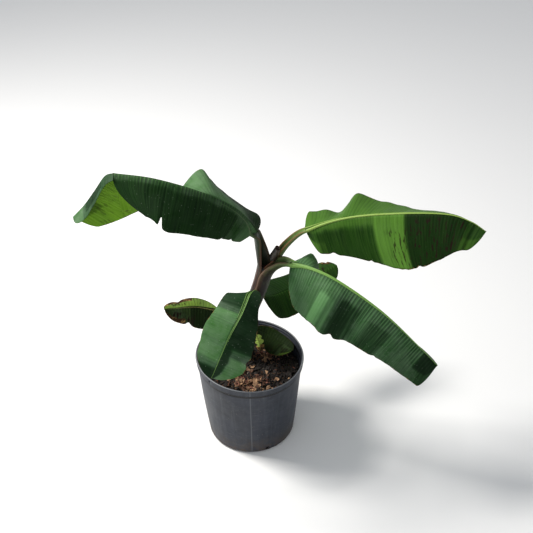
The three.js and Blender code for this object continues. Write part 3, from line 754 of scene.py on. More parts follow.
def channel_outline(depth):
    """A stalk's cross-section, flat to deeply channelled on top; depth is one number a row."""
    turn = TAU * (np.arange(STALK_POINTS) + 0.5) / STALK_POINTS
    x, y = np.cos(turn), np.sin(turn)
    square = x**2
    flat_top = 0.25 * (1 - square)
    channel = -0.5 * (1 - square) ** 2 + 4.2 * square**2 * (1 - square)
    depth = np.asarray(depth)[:, None]
    top = (1 - depth) * flat_top + depth * channel
    height = np.where(y[None] > 0, top, y[None])
    rim = np.where(y > 0, np.exp(-(((np.abs(x) - 0.84) / 0.13) ** 2)), 0)
    return np.stack([np.repeat(x[None], len(depth), 0), height], -1), rim, turn / TAU


def stalk_piece(name, leaf, finish, foot_points=(), foot_size=None, channel=(1.0, 0.6, 0.2),
                rim_strength=0.9, rib=1.0, sunk=0.25):
    """Stalk and midrib in one, from a wrapped foot on the stem to the blade's tip."""
    points = list(foot_points) + list(leaf["line"])
    grown = dict(leaf, line=points, blade_from=leaf["blade_from"] + len(foot_points))
    run = LeafLine(grown)
    rows = int(run.total / STALK_ROW)
    length = np.linspace(0, run.total, rows)
    centre, _, side, up = run.frame(length)
    foot_at = run.at_points[len(foot_points)]
    (foot, neck), tip = leaf["stalk"], leaf.get("tip", RIB_TIP)
    stops = [0, foot_at, run.blade_at, run.total] if foot_points else [0, run.blade_at, run.total]
    sizes = ([foot_size or foot] if foot_points else []) + [foot, neck, tip]
    half_width = np.interp(length, stops, [s[0] for s in sizes])
    half_depth = np.interp(length, stops, [s[1] for s in sizes])
    in_blade = smooth_step(run.blade_at - 12, run.blade_at + 14, length)
    slim = 1 + (rib - 1) * smooth_step(run.blade_at - 30, run.blade_at + 60, length)
    half_width, half_depth = half_width * slim, half_depth * slim
    at_foot, at_blade, at_tip = channel
    closing = smooth_step(0.35 * run.blade_at, run.blade_at, length)
    deep = at_foot + (at_blade - at_foot) * closing
    deep = deep + (at_tip - deep) * smooth_step(run.blade_at, run.total, length)
    outline, rim, around = channel_outline(deep)
    middle = centre - up * (half_depth * sunk * in_blade)[:, None]
    points, faces = tube_mesh(middle, side, up, outline, half_width, half_depth)
    spread_out = np.ones(STALK_POINTS)
    foot_end = foot_at + 0.9 * (run.blade_at - foot_at) + 1
    marks = dict(
        along=np.outer(length * MM, spread_out).ravel(),
        around=np.outer(np.ones(rows), around).ravel(),
        rim=np.outer(rim_strength * (1 - 0.75 * in_blade), rim).ravel(),
        in_blade=np.outer(in_blade, spread_out).ravel(),
        foot=np.outer(1 - smooth_step(foot_at, foot_end, length), spread_out).ravel(),
    )
    return new_piece(name, points, faces, [finish], marks=marks)


# ---------------------------------------------------------------- stem
STEM_AROUND = 96
STEM_ROW = 2.5
SHEATH_EDGES = [  # bearing where each sheath's free edge starts, degrees, and how far it winds
    (262, 40, 2.4), (200, -55, 2.0), (330, 60, 1.8), (120, -45, 2.2), (30, 50, 2.0),
]


def stem_piece(finish):
    """The false stem: overlapping leaf sheaths, each with a free edge that winds upward."""
    run = Line(STEM_LINE)
    rows = int(run.total / STEM_ROW)
    length = np.linspace(0, run.total, rows)
    share = length / run.total
    ahead = run.ahead(length, 2)
    side = unit(np.array([1.0, 0.0, 0.0]) - ahead[:, :1] * ahead)
    turn = TAU * np.arange(STEM_AROUND) / STEM_AROUND
    ring = np.stack([np.cos(turn), np.sin(turn)], -1)
    swell = np.zeros((rows, STEM_AROUND))
    edge_mark = np.zeros((rows, STEM_AROUND))
    for bearing, winding, height in SHEATH_EDGES:
        at = np.radians(bearing + winding * share)[:, None]
        past = (turn[None] - at + math.pi) % TAU - math.pi
        lip = smooth_step(-0.05, 0.05, past) * np.exp(-np.maximum(past, 0) / 0.8)
        swell += height * lip
        edge_mark = np.maximum(edge_mark, np.exp(-((past - 0.04) / 0.06) ** 2))
    fibres = np.stack([wander(turn * 60 + 7 * share_now, 5, 1.3) for share_now in share])
    lumps = np.stack([wander(turn * 8 + 30, 6 + row // 14, 3) for row in range(rows)])
    radius = along(STEM_RADII, share)[:, None] - 1.6 + swell + 0.25 * fibres + 0.35 * lumps
    radius = radius + 4 * np.exp(-length / 22)[:, None]
    outline = ring[None] * radius[..., None]
    ones = np.ones(rows)
    points, faces = tube_mesh(run.at(length), side, np.cross(side, ahead), outline, ones, ones)
    around = np.tile(turn / TAU, rows)
    marks = dict(
        along=np.repeat(length * MM, STEM_AROUND), around=around, rim=0.8 * edge_mark.ravel(),
        in_blade=np.zeros(len(points)), foot=np.repeat(1 - 0.45 * share, STEM_AROUND),
    )
    return new_piece("stem_sheaths", points, faces, [finish], marks=marks)


def spear_piece(finish):
    """The rolled young leaf, cut off: a slanting end that shows its turns."""
    run = Line(STUB_LINE)
    outer = np.linspace(0, run.total, 26)
    around = 48
    turn = TAU * np.arange(around) / around
    rolls = [(0.93, 0.8), (0.84, 0.2), (0.8, -3), (0.7, -3.4), (0.66, -0.8), (0.56, -0.9),
             (0.52, -4), (0.4, -4.4), (0.36, -1.6), (0.24, -1.8), (0.2, -5), (0.04, -5.4)]
    length = np.concatenate([outer, [run.total + drop for _, drop in rolls]])
    shrink = np.concatenate([np.ones(len(outer)), [size for size, _ in rolls]])
    on_line = np.minimum(length, run.total)
    share = on_line / run.total
    ahead = run.ahead(on_line, 3)
    side = unit(np.cross(ahead, [0.0, 1.0, 0.0]))
    up = np.cross(side, ahead)
    centre = run.at(on_line) + ahead * (length - on_line)[:, None]
    centre = centre + ahead * np.minimum(0, length - run.total)[:, None] * (shrink < 1)[:, None]
    seam = 1 + 0.09 * smooth_step(0, 0.5, turn) * (1 - smooth_step(1.5, 6.2, turn))
    radius = (along(STUB_RADII, share) * shrink)[:, None] * seam[None]
    slant = 2.2 * smooth_step(0.75, 1, share)[:, None] * np.cos(turn - 0.8)[None]
    centre_rows = centre[:, None] + ahead[:, None] * slant[..., None]
    points = (
        centre_rows
        + side[:, None] * (np.cos(turn)[None] * radius)[..., None]
        + up[:, None] * (np.sin(turn)[None] * radius)[..., None]
    )
    rows = len(length)
    marks = dict(
        along=np.repeat(length * MM, around), around=np.tile(turn / TAU, rows),
        rim=np.repeat((shrink < 1) * 0.15, around), in_blade=np.zeros(rows * around),
        foot=np.full(rows * around, 0.8),
    )
    faces = tube_faces(rows, around)
    return new_piece("cut_spear", points.reshape(-1, 3), faces, [finish], marks=marks)


# ---------------------------------------------------------------- pot and bark mix
def wall_radius(z):
    share = (z - BASE_ROUND) / (POT_HEIGHT - BAND_HEIGHT - BASE_ROUND)
    return BASE_RADIUS + (BODY_TOP_RADIUS - BASE_RADIUS) * share


def oval(points):
    """Draws a round piece slightly oval, more so toward the rim."""
    turn = 2 * (np.arctan2(points[:, 1], points[:, 0]) - math.radians(RIM_OVAL_BEARING))
    scale = 1 + RIM_OVAL * (points[:, 2] / POT_HEIGHT) ** 2 * np.cos(turn)
    return points * np.stack([scale, scale, np.ones(len(points))], -1)


def turned_mesh(profile, sides, relief=None):
    """A closed turned body from (radius, height) pairs whose ends lie on the axis."""
    profile = np.array(profile, float)
    turn = TAU * np.arange(sides) / sides
    inner = profile[1:-1]
    radius = np.repeat(inner[:, :1], sides, 1)
    height = np.repeat(inner[:, 1:], sides, 1)
    if relief is not None:
        radius, height = relief(radius, height, turn[None])
    rows = len(inner)
    rings = np.stack([radius * np.cos(turn), radius * np.sin(turn), height], -1).reshape(-1, 3)
    foot, top = rows * sides, rows * sides + 1
    points = np.vstack([rings, [[0, 0, profile[0, 1]], [0, 0, profile[-1, 1]]]])
    i = np.arange(sides)
    k = (i + 1) % sides
    fans = np.vstack([
        np.stack([np.full(sides, foot), k, i], -1),
        np.stack([np.full(sides, top), i + (rows - 1) * sides, k + (rows - 1) * sides], -1),
    ])
    return oval(points), [grid_quads(rows, sides, loop=True), fans]


def rounded(profile, radius=0.9, steps=4):
    """The same profile with its inner corners turned into small arcs."""
    profile = [np.array(p, float) for p in profile]
    smooth = [profile[0]]
    for before, corner, after in zip(profile, profile[1:], profile[2:]):
        back, forth = before - corner, after - corner
        cut = min(radius, 0.45 * np.linalg.norm(back), 0.45 * np.linalg.norm(forth))
        start, end = corner + unit(back) * cut, corner + unit(forth) * cut
        for t in np.linspace(0, 1, steps):
            smooth.append((1 - t) ** 2 * start + 2 * t * (1 - t) * corner + t**2 * end)
    return smooth + [profile[-1]]


def drilled(piece, bearing, reach, height, radius):
    """Cuts a round hole through the wall, from outside inward."""
    bpy.ops.mesh.primitive_cylinder_add(vertices=40, radius=radius * MM, depth=20 * MM)
    bar = bpy.context.object
    at = np.radians(bearing)
    bar.location = Vector((reach * math.cos(at), reach * math.sin(at), height)) * MM
    bar.rotation_euler = (0, math.pi / 2, at)
    cut = piece.modifiers.new("hole", "BOOLEAN")
    cut.operation, cut.solver, cut.object = "DIFFERENCE", "EXACT", bar
    bpy.context.view_layer.update()
    evaluated = piece.evaluated_get(bpy.context.evaluated_depsgraph_get())
    made = bpy.data.meshes.new_from_object(evaluated)
    piece.modifiers.clear()
    piece.data = made
    bpy.data.objects.remove(bar)


def pot_piece(finish):
    band_foot = POT_HEIGHT - BAND_HEIGHT
    band_radius = RIM_RADIUS - 2.5
    inner_foot = wall_radius(BASE_ROUND) - WALL
    round_foot = [
        (BASE_RADIUS - BASE_ROUND + BASE_ROUND * math.sin(a), BASE_ROUND - BASE_ROUND * math.cos(a))
        for a in np.linspace(0.25, 1.4, 6)
    ]
    outer_heights = np.linspace(BASE_ROUND + 2, band_foot - 6, 26)
    inner_heights = np.linspace(band_foot - 12, BASE_ROUND + 3, 12)
    wall_rows = [(wall_radius(z), z) for z in outer_heights]
    inside_rows = [(wall_radius(z) - WALL, z) for z in inner_heights]
    profile = [
        (0, 2.2), (BASE_RADIUS * 0.55, 2.2), (BASE_RADIUS * 0.58, 0), (BASE_RADIUS - BASE_ROUND, 0),
        *round_foot, *wall_rows,
        (BODY_TOP_RADIUS - 0.3, band_foot - 3), (BODY_TOP_RADIUS - 1.4, band_foot - 0.6),
        (BODY_TOP_RADIUS - 0.8, band_foot + 0.6), (band_radius - 0.4, band_foot + 0.4),
        (band_radius + 0.2, band_foot + 2),
        (band_radius + 0.6, POT_HEIGHT - 5.6), (RIM_RADIUS - 0.2, POT_HEIGHT - 4.8),
        (RIM_RADIUS, POT_HEIGHT - 2.4), (RIM_RADIUS - 0.8, POT_HEIGHT - 0.5),
        (RIM_RADIUS - 2.2, POT_HEIGHT), (band_radius - WALL + 0.4, POT_HEIGHT - 1.2),
        (band_radius - WALL, POT_HEIGHT - 7), (band_radius - WALL - 1.6, POT_HEIGHT - 8),
        (band_radius - WALL - 1.8, POT_HEIGHT - 14), (band_radius - WALL - 3.2, POT_HEIGHT - 15),
        (BODY_TOP_RADIUS - WALL - 0.6, band_foot - 1),
        (BODY_TOP_RADIUS - WALL - 2, band_foot - 2.4), *inside_rows,
        (inner_foot - 3, BASE_ROUND - 2), (inner_foot - 6, FLOOR_THICKNESS + 2.6),
        (0, FLOOR_THICKNESS + 2.6),
    ]

    def relief(radius, height, turn):
        below_band = 1 - smooth_step(band_foot - 10, band_foot - 3, height)
        on_wall = smooth_step(16, 30, height) * below_band
        outside = radius > wall_radius(height) - 1
        seam = np.zeros_like(radius + turn)
        for bearing in (269, 89):
            off = (turn - math.radians(bearing) + math.pi) % TAU - math.pi
            seam = seam + 0.45 * np.exp(-((off / 0.006) ** 2))
        slack = 0.5 * np.sin(2 * turn + 0.7) + 0.35 * np.sin(5 * turn + 2.1 + height / 60)
        slack = slack + 0.18 * np.sin(9 * turn + height / 31)
        return radius + on_wall * (slack + outside * seam), height + 0 * turn

    points, faces = turned_mesh(rounded(profile), 256, relief)
    piece = new_piece("pot_wall", points, faces, [finish])
    foot_radius = wall_radius(DRAIN_HOLE_HEIGHT)
    for i in range(DRAIN_HOLES):
        bearing = DRAIN_HOLE_BEARING + 360 / DRAIN_HOLES * i
        drilled(piece, bearing, foot_radius, DRAIN_HOLE_HEIGHT, DRAIN_HOLE_RADIUS)
    drilled(piece, TAG_HOLE_BEARING, band_radius, POT_HEIGHT - TAG_HOLE_DROP, TAG_HOLE_RADIUS)
    return piece


def soil_height(x, y):
    """Height of the bark mix over the pot's floor, mounded in the middle, with hollows."""
    off = np.hypot(x, y) / 130
    hollows = wander(x + 300, 71, 34) * wander(y + 300, 72, 31) + 0.5 * wander(x - y, 73, 17)
    return SOIL_TOP - 4 - SOIL_MOUND * off**2 + 3.2 * hollows


def soil_piece(finish):
    def inside(z):
        return wall_radius(z) - WALL - 1.4

    rings = np.linspace(1, 0.02, 44)[:-1]
    profile = [
        (0, FLOOR_THICKNESS + 3), (inside(BASE_ROUND) - 9, FLOOR_THICKNESS + 3),
        (inside(BASE_ROUND) - 2, BASE_ROUND + 3), (inside(100), 100),
        *[(inside(SOIL_TOP - SOIL_MOUND) * r, SOIL_TOP) for r in rings], (0, SOIL_TOP),
    ]

    def relief(radius, height, turn):
        x, y = radius * np.cos(turn), radius * np.sin(turn)
        crumbs = 1.6 * wander(x * 1.3 + y, 81, 5) * wander(y * 1.2 - x, 82, 6)
        return radius + 0 * turn, np.where(height == SOIL_TOP, soil_height(x, y) + crumbs, height)

    points, faces = turned_mesh(profile, 160, relief)
    points[-1, 2] = soil_height(0, 0)
    return new_piece("bark_bed", points, faces, [finish])


CHIP_REACH, CHIP_EDGE = 122, 126  # how far from the pot's middle chips lie, and their ends reach
FIBRE_REACH, FIBRE_EDGE = 108, 121
CHIP_STATIONS, CHIP_ACROSS = 5, 3
CHIP_SIDE = CHIP_STATIONS * CHIP_ACROSS  # points on one side of a chip


def chip_points(rng, length, width, thickness):
    """One bark chip: a bent, ragged splinter, with a grid of points on its upper and lower side."""
    grid = (CHIP_STATIONS, CHIP_ACROSS)
    t = np.linspace(-1, 1, CHIP_STATIONS)
    taper = 1 - rng.uniform(0.15, 0.7) * np.abs(t) ** rng.uniform(1.4, 4)
    taper = taper * rng.uniform(0.8, 1.15, CHIP_STATIONS)
    middle = rng.uniform(-0.2, 0.2, CHIP_STATIONS) * width
    across = np.linspace(-1, 1, CHIP_ACROSS)
    x = length / 2 * (t[:, None] + rng.uniform(-0.08, 0.08, grid))
    y = middle[:, None] + width / 2 * taper[:, None] * across[None]
    bend = rng.uniform(-0.25, 0.25) * length * (t**2)[:, None]
    cup = rng.uniform(-0.3, 0.3) * width * (across**2)[None]
    z = bend + cup + rng.uniform(-0.12, 0.12, grid) * thickness
    body = thickness / 2 * (1 - 0.5 * np.abs(across))[None] * np.ones((CHIP_STATIONS, 1))
    return [np.stack([x, y, height], -1).reshape(-1, 3) for height in (z + body, z - body)]


def chip_faces():
    upper = grid_quads(CHIP_STATIONS, CHIP_ACROSS)
    lower = upper[:, ::-1] + CHIP_SIDE
    index = np.arange(CHIP_SIDE).reshape(CHIP_STATIONS, CHIP_ACROSS)
    rim = [index[0], index[:, 2], index[-1][::-1], index[:, 0][::-1]]
    sides = [np.stack([a[:-1], a[:-1] + CHIP_SIDE, a[1:] + CHIP_SIDE, a[1:]], -1) for a in rim]
    return np.vstack([upper, lower] + sides)[:, ::-1]


def turned_about(rng, tip):
    """A random turn about the vertical after a random tip of up to so many degrees."""
    heading, lean, roll = rng.uniform(0, TAU), *np.radians(rng.uniform(-tip, tip, 2))
    leaning = Matrix.Rotation(lean, 3, "Y") @ Matrix.Rotation(roll, 3, "X")
    return np.array(Matrix.Rotation(heading, 3, "Z") @ leaning)


def random_spot(rng, furthest):
    """A random spot on the bark bed, and how far it is from the middle of the pot."""
    reach, bearing = furthest * math.sqrt(rng.uniform()), rng.uniform(0, TAU)
    return reach * math.cos(bearing), reach * math.sin(bearing), reach


def clear_of_stem(x, y):
    return math.hypot(x - STEM_LINE[0][0], y - STEM_LINE[0][1]) > STEM_RADII[0] + 3


def strewn(name, finish, count, seed, sizes, where, tip=38, lift=(-1, 4)):
    """Many chips of one kind joined in one piece, lying on the bark bed where `where` allows."""
    rng = np.random.RandomState(seed)
    points, faces, found = [], [], 0
    quads = chip_faces()
    while found < count:
        x, y, reach = random_spot(rng, CHIP_REACH)
        if rng.uniform() > where(x, y) or not clear_of_stem(x, y):
            continue
        length = rng.uniform(*sizes)
        width = length * rng.uniform(0.3, 0.75)
        above, below = chip_points(rng, length, width, rng.uniform(0.9, 2.4))
        turn = turned_about(rng, tip)
        centre = np.array([x, y, soil_height(x, y) + rng.uniform(*lift)])
        shrink = min(1, max(0.2, (CHIP_EDGE - reach) / (length / 2)))
        both = np.vstack([above, below]) * shrink
        points.append(both @ turn.T + centre)
        faces.append(quads + 2 * CHIP_SIDE * found)
        found += 1
    return new_piece(name, np.vstack(points), [np.vstack(faces)], [finish], smooth=False)


def fibre_piece(name, finish, count, seed):
    """Loose husk fibres lying over the chips."""
    rng = np.random.RandomState(seed)
    points, faces, first = [], [], 0
    steps = 9
    for _ in range(count):
        x, y, _ = random_spot(rng, FIBRE_REACH)
        if not clear_of_stem(x, y):
            continue
        heading, bend = rng.uniform(0, TAU), rng.uniform(-2.4, 2.4)
        length, radius = rng.uniform(9, 26), rng.uniform(0.22, 0.5)
        t = np.linspace(-0.5, 0.5, steps)
        way = heading + bend * t
        step = length / steps
        path_x = x + np.cumsum(np.cos(way)) * step - length / 2 * math.cos(heading)
        path_y = y + np.cumsum(np.sin(way)) * step - length / 2 * math.sin(heading)
        hold = min(1.0, FIBRE_EDGE / max(1.0, np.hypot(path_x, path_y).max()))
        path_x, path_y = path_x * hold, path_y * hold
        path_z = soil_height(path_x, path_y) + 2.2 + 2.4 * np.cos(3 * t + rng.uniform(-1, 1))
        side = np.stack([-np.sin(way), np.cos(way), 0 * way], -1)
        up = np.tile([0.0, 0.0, 1.0], (steps, 1))
        ring = np.array([(math.cos(a), math.sin(a)) for a in TAU * np.arange(4) / 4])
        size = radius * (1 - np.abs(2 * t) ** 3 * 0.8)
        path = np.stack([path_x, path_y, path_z], -1)
        found, quads = tube_mesh(path, side, up, ring, size, size)
        points.append(found)
        faces.append(np.vstack(quads) + first)
        first += len(found)
    return new_piece(name, np.vstack(points), [np.vstack(faces)], [finish])


# ---------------------------------------------------------------- other finishes
def stem_finish():
    material, tree, where = finish_of("sheath")
    lie = mark(tree, "around"), mark(tree, "along")
    strands = streaks(tree, lie, Density=26.0, Stretch=5.0, Low=0.3, High=0.72)
    fine = streaks(tree, lie, Density=110.0, Stretch=16.0, Low=0.3, High=0.7, Shift=9.0)
    colour = blend_colour(tree, strands, rgb(34, 30, 24), rgb(64, 60, 44))
    colour = tinted(tree, colour, rgb(88, 80, 68), fine, 0.3)
    black = blotches(tree, where, Scale=26.0, Threshold=0.54, Softness=0.05, Warp=1.6)
    colour = tinted(tree, colour, rgb(14, 12, 11), black, 0.85)
    blush = blotches(tree, where, Scale=11.0, Threshold=0.55, Softness=0.1, Warp=0.5)
    colour = tinted(tree, colour, rgb(100, 58, 50), blush, 0.45)
    colour = blend_colour(tree, mark(tree, "rim"), colour, rgb(116, 62, 50))
    relief = bump(tree, strands, 0.5, 0.0006)
    relief = bump(tree, grain(tree, where, 150.0), 0.3, 0.0008, relief)
    return finished(material, colour, spread(tree, fine, 0.0, 1.0, 0.38, 0.56), relief)


def pot_finish():
    """Black moulded plastic gone grey in the sun, with dust low down and rain marks, a painted shadow line under
    the rim band and a painted highlight along the rim's top edge.
    """
    material, tree, where = finish_of("weathered_plastic")
    cloud = blotches(tree, where, Scale=7.0, Threshold=0.5, Softness=0.28, Warp=0.8)
    fine = blotches(tree, where, Scale=48.0, Threshold=0.5, Softness=0.22, Warp=0.4)
    colour = blend_colour(tree, cloud, rgb(25, 29, 37), rgb(45, 50, 61))
    colour = tinted(tree, colour, rgb(70, 74, 82), fine, 0.3)
    parts = node(tree, "ShaderNodeSeparateXYZ", {0: where}).outputs
    height = parts["Z"]
    smear = blotches(tree, where, Scale=30.0, Threshold=0.48, Softness=0.14, Warp=1.4)
    dust = maths(tree, "MULTIPLY", spread(tree, height, 0.075, 0.0), smear)
    colour = tinted(tree, colour, rgb(92, 78, 64), dust, 0.5)
    bearing = maths(tree, "ARCTAN2", parts["Y"], parts["X"])
    runs = streaks(tree, (bearing, height), Density=14.0, Stretch=5.0, Low=0.45, High=0.75)
    colour = tinted(tree, colour, rgb(88, 92, 98), runs, 0.2)
    from_seam = maths(tree, "ABSOLUTE", maths(tree, "ADD", bearing, math.radians(91)))
    seam = spread(tree, from_seam, 0.016, 0.004)
    colour = tinted(tree, colour, rgb(100, 102, 106), seam, 0.5)
    # Painted shadow: a near-black line where the rim band overhangs the wall.
    under_band = maths(tree, "SUBTRACT", height, (POT_HEIGHT - BAND_HEIGHT - 1.5) * MM)
    painted_band_shadow = spread(tree, maths(tree, "ABSOLUTE", under_band), 0.0062, 0.0042)
    colour = tinted(tree, colour, rgb(5, 5, 7), painted_band_shadow, 0.95)
    # Painted highlight: the top edge of the rim is painted light grey.
    lip = spread(tree, height, (POT_HEIGHT - 2.2) * MM, (POT_HEIGHT - 0.6) * MM)
    colour = tinted(tree, colour, rgb(124, 126, 130), lip, 0.9)
    scuffs = streaks(tree, (height, bearing), Density=420.0, Stretch=3.0, Low=0.62, High=0.7,
                     Shift=5.0)
    colour = tinted(tree, colour, rgb(96, 98, 102), scuffs, 0.3)
    specks = speckle(tree, where, Scale=240.0, Size=0.3, Amount=0.12)
    colour = tinted(tree, colour, rgb(160, 150, 136), specks, 0.45)
    rough = maths(tree, "ADD", spread(tree, cloud, 0.0, 1.0, 0.42, 0.56),
                  maths(tree, "MULTIPLY", dust, 0.2))
    relief = bump(tree, grain(tree, where, 420.0), 0.12, 0.0004)
    relief = bump(tree, scuffs, 0.15, 0.0002, relief)
    return finished(material, colour, rough, relief, shine=0.3)


def bark_finish(name, deep, light, roughness=0.85):
    """Bark: layered streaks and pits between a deep and a light colour."""
    material, tree, where = finish_of(name)
    layers = blotches(tree, where, Scale=170.0, Threshold=0.5, Softness=0.2, Warp=2.0)
    colour = blend_colour(tree, layers, deep, light)
    pits = speckle(tree, where, Scale=620.0, Size=0.45, Amount=0.4)
    colour = tinted(tree, colour, rgb(24, 17, 12), pits, 0.55)
    rough = spread(tree, layers, 0.0, 1.0, roughness - 0.1, roughness + 0.08)
    return finished(material, colour, rough, bump(tree, grain(tree, where, 420.0), 0.7, 0.0012))


def floor_finish():
    material, tree, where = finish_of("studio_floor")
    shade = blotches(tree, where, Scale=1.5, Threshold=0.5, Softness=0.4, Warp=0.0)
    colour = tinted(tree, rgb(240, 240, 240), rgb(232, 232, 233), shade, 0.12)
    shader = tree.nodes["Principled BSDF"]
    tree.links.new(colour, shader.inputs["Base Color"])
    shader.inputs["Roughness"].default_value = 0.95
    return material


# ---------------------------------------------------------------- how each leaf is dressed
# Patches are (strength, from share, to share, from reach, to reach), where a share below 0 or above
# 1 lets the patch run out over the blade's edge. Nicks are (share, depth, width).
# The lighter patches are painted light for sunlit and backlit parts, and the shade patches are painted shade and
# cast shadows.
DRESS = {
    "left_leaf": dict(
        left=dict(nicks=[(0.14, 0.05, 0.01), (0.25, 0.03, 0.015), (0.7, 0.22, 0.01)],
                  painted_light=[(0.45, -0.1, 0.1, -0.1, 1.2)], shade=[(0.6, 0.2, 1.1, 0.15, 1.2)]),
        right=dict(painted_light=[(0.9, 0.24, 0.6, -0.1, 1.2), (0.5, 0.1, 0.3, -0.1, 0.5)],
                   shade=[(0.5, -0.1, 0.12, -0.1, 1.2), (0.75, -0.1, 0.34, 0.62, 1.2)],
                   rim_dry=0.04),
    ),
    "left_leaf_tip": dict(
        left=dict(painted_light=[(0.5, 0.75, 1.1, -0.1, 1.2)],
                  shade=[(0.75, 0.25, 0.7, -0.1, 0.7), (0.3, -0.1, 0.75, -0.1, 1.2)]),
        right=dict(scorch=[(0.4, 0.1, 0.9, 0.2, 1.0)], shade=[(0.8, 0.6, 1.1, -0.1, 0.4)],
                   rim_dry=0.08),
    ),
    "lower_right_leaf": dict(
        right=dict(nicks=[(0.4, 0.07, 0.02), (0.7, 0.02, 0.01)],
                   painted_light=[(0.35, 0.02, 0.34, 0.1, 1.2), (1.0, 0.24, 0.33, 0.35, 1.2)],
                   shade=[(0.8, 0.37, 0.47, 0.25, 1.2), (0.5, 0.55, 0.7, 0.3, 1.2),
                          (1.0, 0.89, 1.1, -0.1, 0.62), (0.6, 0.94, 1.1, 0.3, 1.2)],
                   rim_dry=0.03),
        left=dict(painted_light=[(0.4, 0.0, 0.25, -0.1, 1.2)], rim_dry=0.08),
    ),
    "upper_right_leaf": dict(
        right=dict(painted_light=[(1.0, 0.4, 0.56, -0.1, 1.2), (0.7, -0.1, 0.07, 0.6, 1.2),
                         (0.5, 0.0, 0.45, -0.1, 0.22), (0.35, 0.9, 1.1, 0.6, 1.2)],
                   shade=[(0.5, 0.04, 0.39, 0.3, 1.2), (0.85, 0.57, 0.93, -0.1, 1.2)],
                   scorch=[(0.8, 0.45, 0.58, 0.3, 0.95), (1.0, 0.6, 0.93, 0.1, 0.95)],
                   nicks=[(0.12, 0.07, 0.02), (0.33, 0.03, 0.01), (0.62, 0.03, 0.015)],
                   rim_dry=0.02),
        left=dict(painted_light=[(0.75, -0.1, 1.1, -0.1, 1.2)], rim_dry=0.02),
    ),
    "front_leaf": dict(
        right=dict(painted_light=[(0.9, 0.33, 0.84, -0.1, 1.2)],
                   shade=[(0.7, -0.1, 0.28, -0.1, 1.2), (0.9, 0.88, 1.1, -0.1, 1.2)], rim_dry=0.03),
        left=dict(painted_light=[(0.9, 0.72, 1.0, 0.35, 1.2)],
                  shade=[(0.9, -0.1, 0.66, -0.1, 1.2), (0.9, 0.6, 1.1, -0.1, 0.3)],
                  rim_dry=0.1, nicks=[(0.72, 0.1, 0.03)]),
    ),
    "back_leaf": dict(
        right=dict(shade=[(0.6, -0.1, 0.8, -0.1, 1.2)], scorch=[(1.0, 0.75, 1.0, 0.0, 1.0)],
                   nicks=[(0.88, 0.25, 0.03)], rim_dry=0.1),
        left=dict(shade=[(0.8, -0.1, 0.7, -0.1, 1.2)], dry=[(0.7, 0.9, 1.0, 0.6, 1.2)],
                  scorch=[(1.0, 0.7, 1.0, 0.0, 1.0)],
                  nicks=[(0.76, 0.2, 0.02), (0.86, 0.16, 0.015), (0.94, 0.2, 0.012)], rim_dry=0.1),
    ),
    "lower_left_leaf": dict(
        left=dict(shade=[(0.8, -0.1, 0.5, -0.1, 1.2)], dry=[(0.6, 0.6, 1.1, 0.65, 1.2)],
                  scorch=[(1.0, 0.4, 1.0, 0.3, 1.1)], nicks=[(0.55, 0.15, 0.05)], rim_dry=0.4),
        right=dict(dry=[(1.0, 0.45, 1.1, 0.6, 1.2)], painted_light=[(0.9, 0.0, 1.0, -0.1, 1.2)],
                   scorch=[(0.8, 0.3, 1.0, 0.2, 1.0)], nicks=[(0.7, 0.2, 0.05)], rim_dry=0.4),
    ),
    "pot_leaf": dict(
        right=dict(painted_light=[(0.7, 0.8, 1.1, 0.7, 1.2)], scorch=[(0.6, 0.2, 0.9, 0.2, 1.0)],
                   shade=[(0.6, -0.1, 0.75, -0.1, 1.2)], rim_dry=0.2),
        left=dict(shade=[(0.6, -0.1, 1.1, -0.1, 1.2)], rim_dry=0.3),
    ),
    "withered_leaf": dict(
        right=dict(painted_light=[(1.0, 0.0, 1.0, 0.0, 1.1)], dry=[(0.7, 0.75, 1.1, 0.0, 1.1)],
                   nicks=[(0.4, 0.4, 0.05), (0.7, 0.5, 0.06)], rim_dry=0.6),
        left=dict(painted_light=[(1.0, 0.0, 1.0, 0.0, 1.1)], dry=[(0.8, 0.6, 1.1, 0.0, 1.1)],
                  nicks=[(0.3, 0.4, 0.06), (0.6, 0.5, 0.05)], rim_dry=0.8),
    ),
}
for leaf_name, leaf in LEAVES.items():
    for half_name, half in leaf["halves"].items():
        half.update(DRESS[leaf_name][half_name], side=RIGHT if half_name == "right" else LEFT)


# ---------------------------------------------------------------- build the plant
def settle(piece, slot, *nodes):
    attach(piece, "root")
    if nodes:
        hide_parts(*nodes)


# Besides their own greens, these finishes carry painted light: the dark upper side is painted darker for the left
# leaf's shade, the bright upper side is tinted yellower for sun shining through the upper right leaf, and the pale
# underside is both paler and painted lighter for sun shining through it.
DARK_UPPER = leaf_finish(
    "leaf_dark_upper", rgb(10, 34, 10), rgb(20, 50, 17), rgb(76, 120, 60), rgb(72, 106, 66), 0.52,
    pleat_highlight=0.5, dust_and_sheen=0.12, comb=0.36,
)
BLUE_UPPER = leaf_finish(
    "leaf_blue_upper", rgb(12, 38, 15), rgb(28, 66, 27), rgb(100, 144, 92), rgb(92, 138, 84), 0.4,
    pleat_highlight=0.36, dust_and_sheen=0.12, shift=20.0, comb=1.0,
)
BRIGHT_UPPER = leaf_finish(
    "leaf_bright_upper", rgb(12, 38, 6), rgb(26, 60, 9), rgb(84, 122, 48), rgb(74, 114, 38), 0.46,
    pleat_highlight=0.45, dust_and_sheen=0.02, shift=40.0, comb=0.26,
)
GREY_UPPER = leaf_finish(
    "leaf_grey_upper", rgb(14, 40, 18), rgb(32, 70, 34), rgb(92, 132, 86), rgb(62, 106, 50), 0.46,
    pleat_highlight=0.12, dust_and_sheen=0.2, shift=60.0,
)
OLD_UPPER = leaf_finish(
    "leaf_old_upper", rgb(16, 28, 10), rgb(34, 52, 18), rgb(72, 92, 40), rgb(96, 122, 44), 0.5,
    pleat_highlight=0.25, dust_and_sheen=0.06, shift=80.0,
)
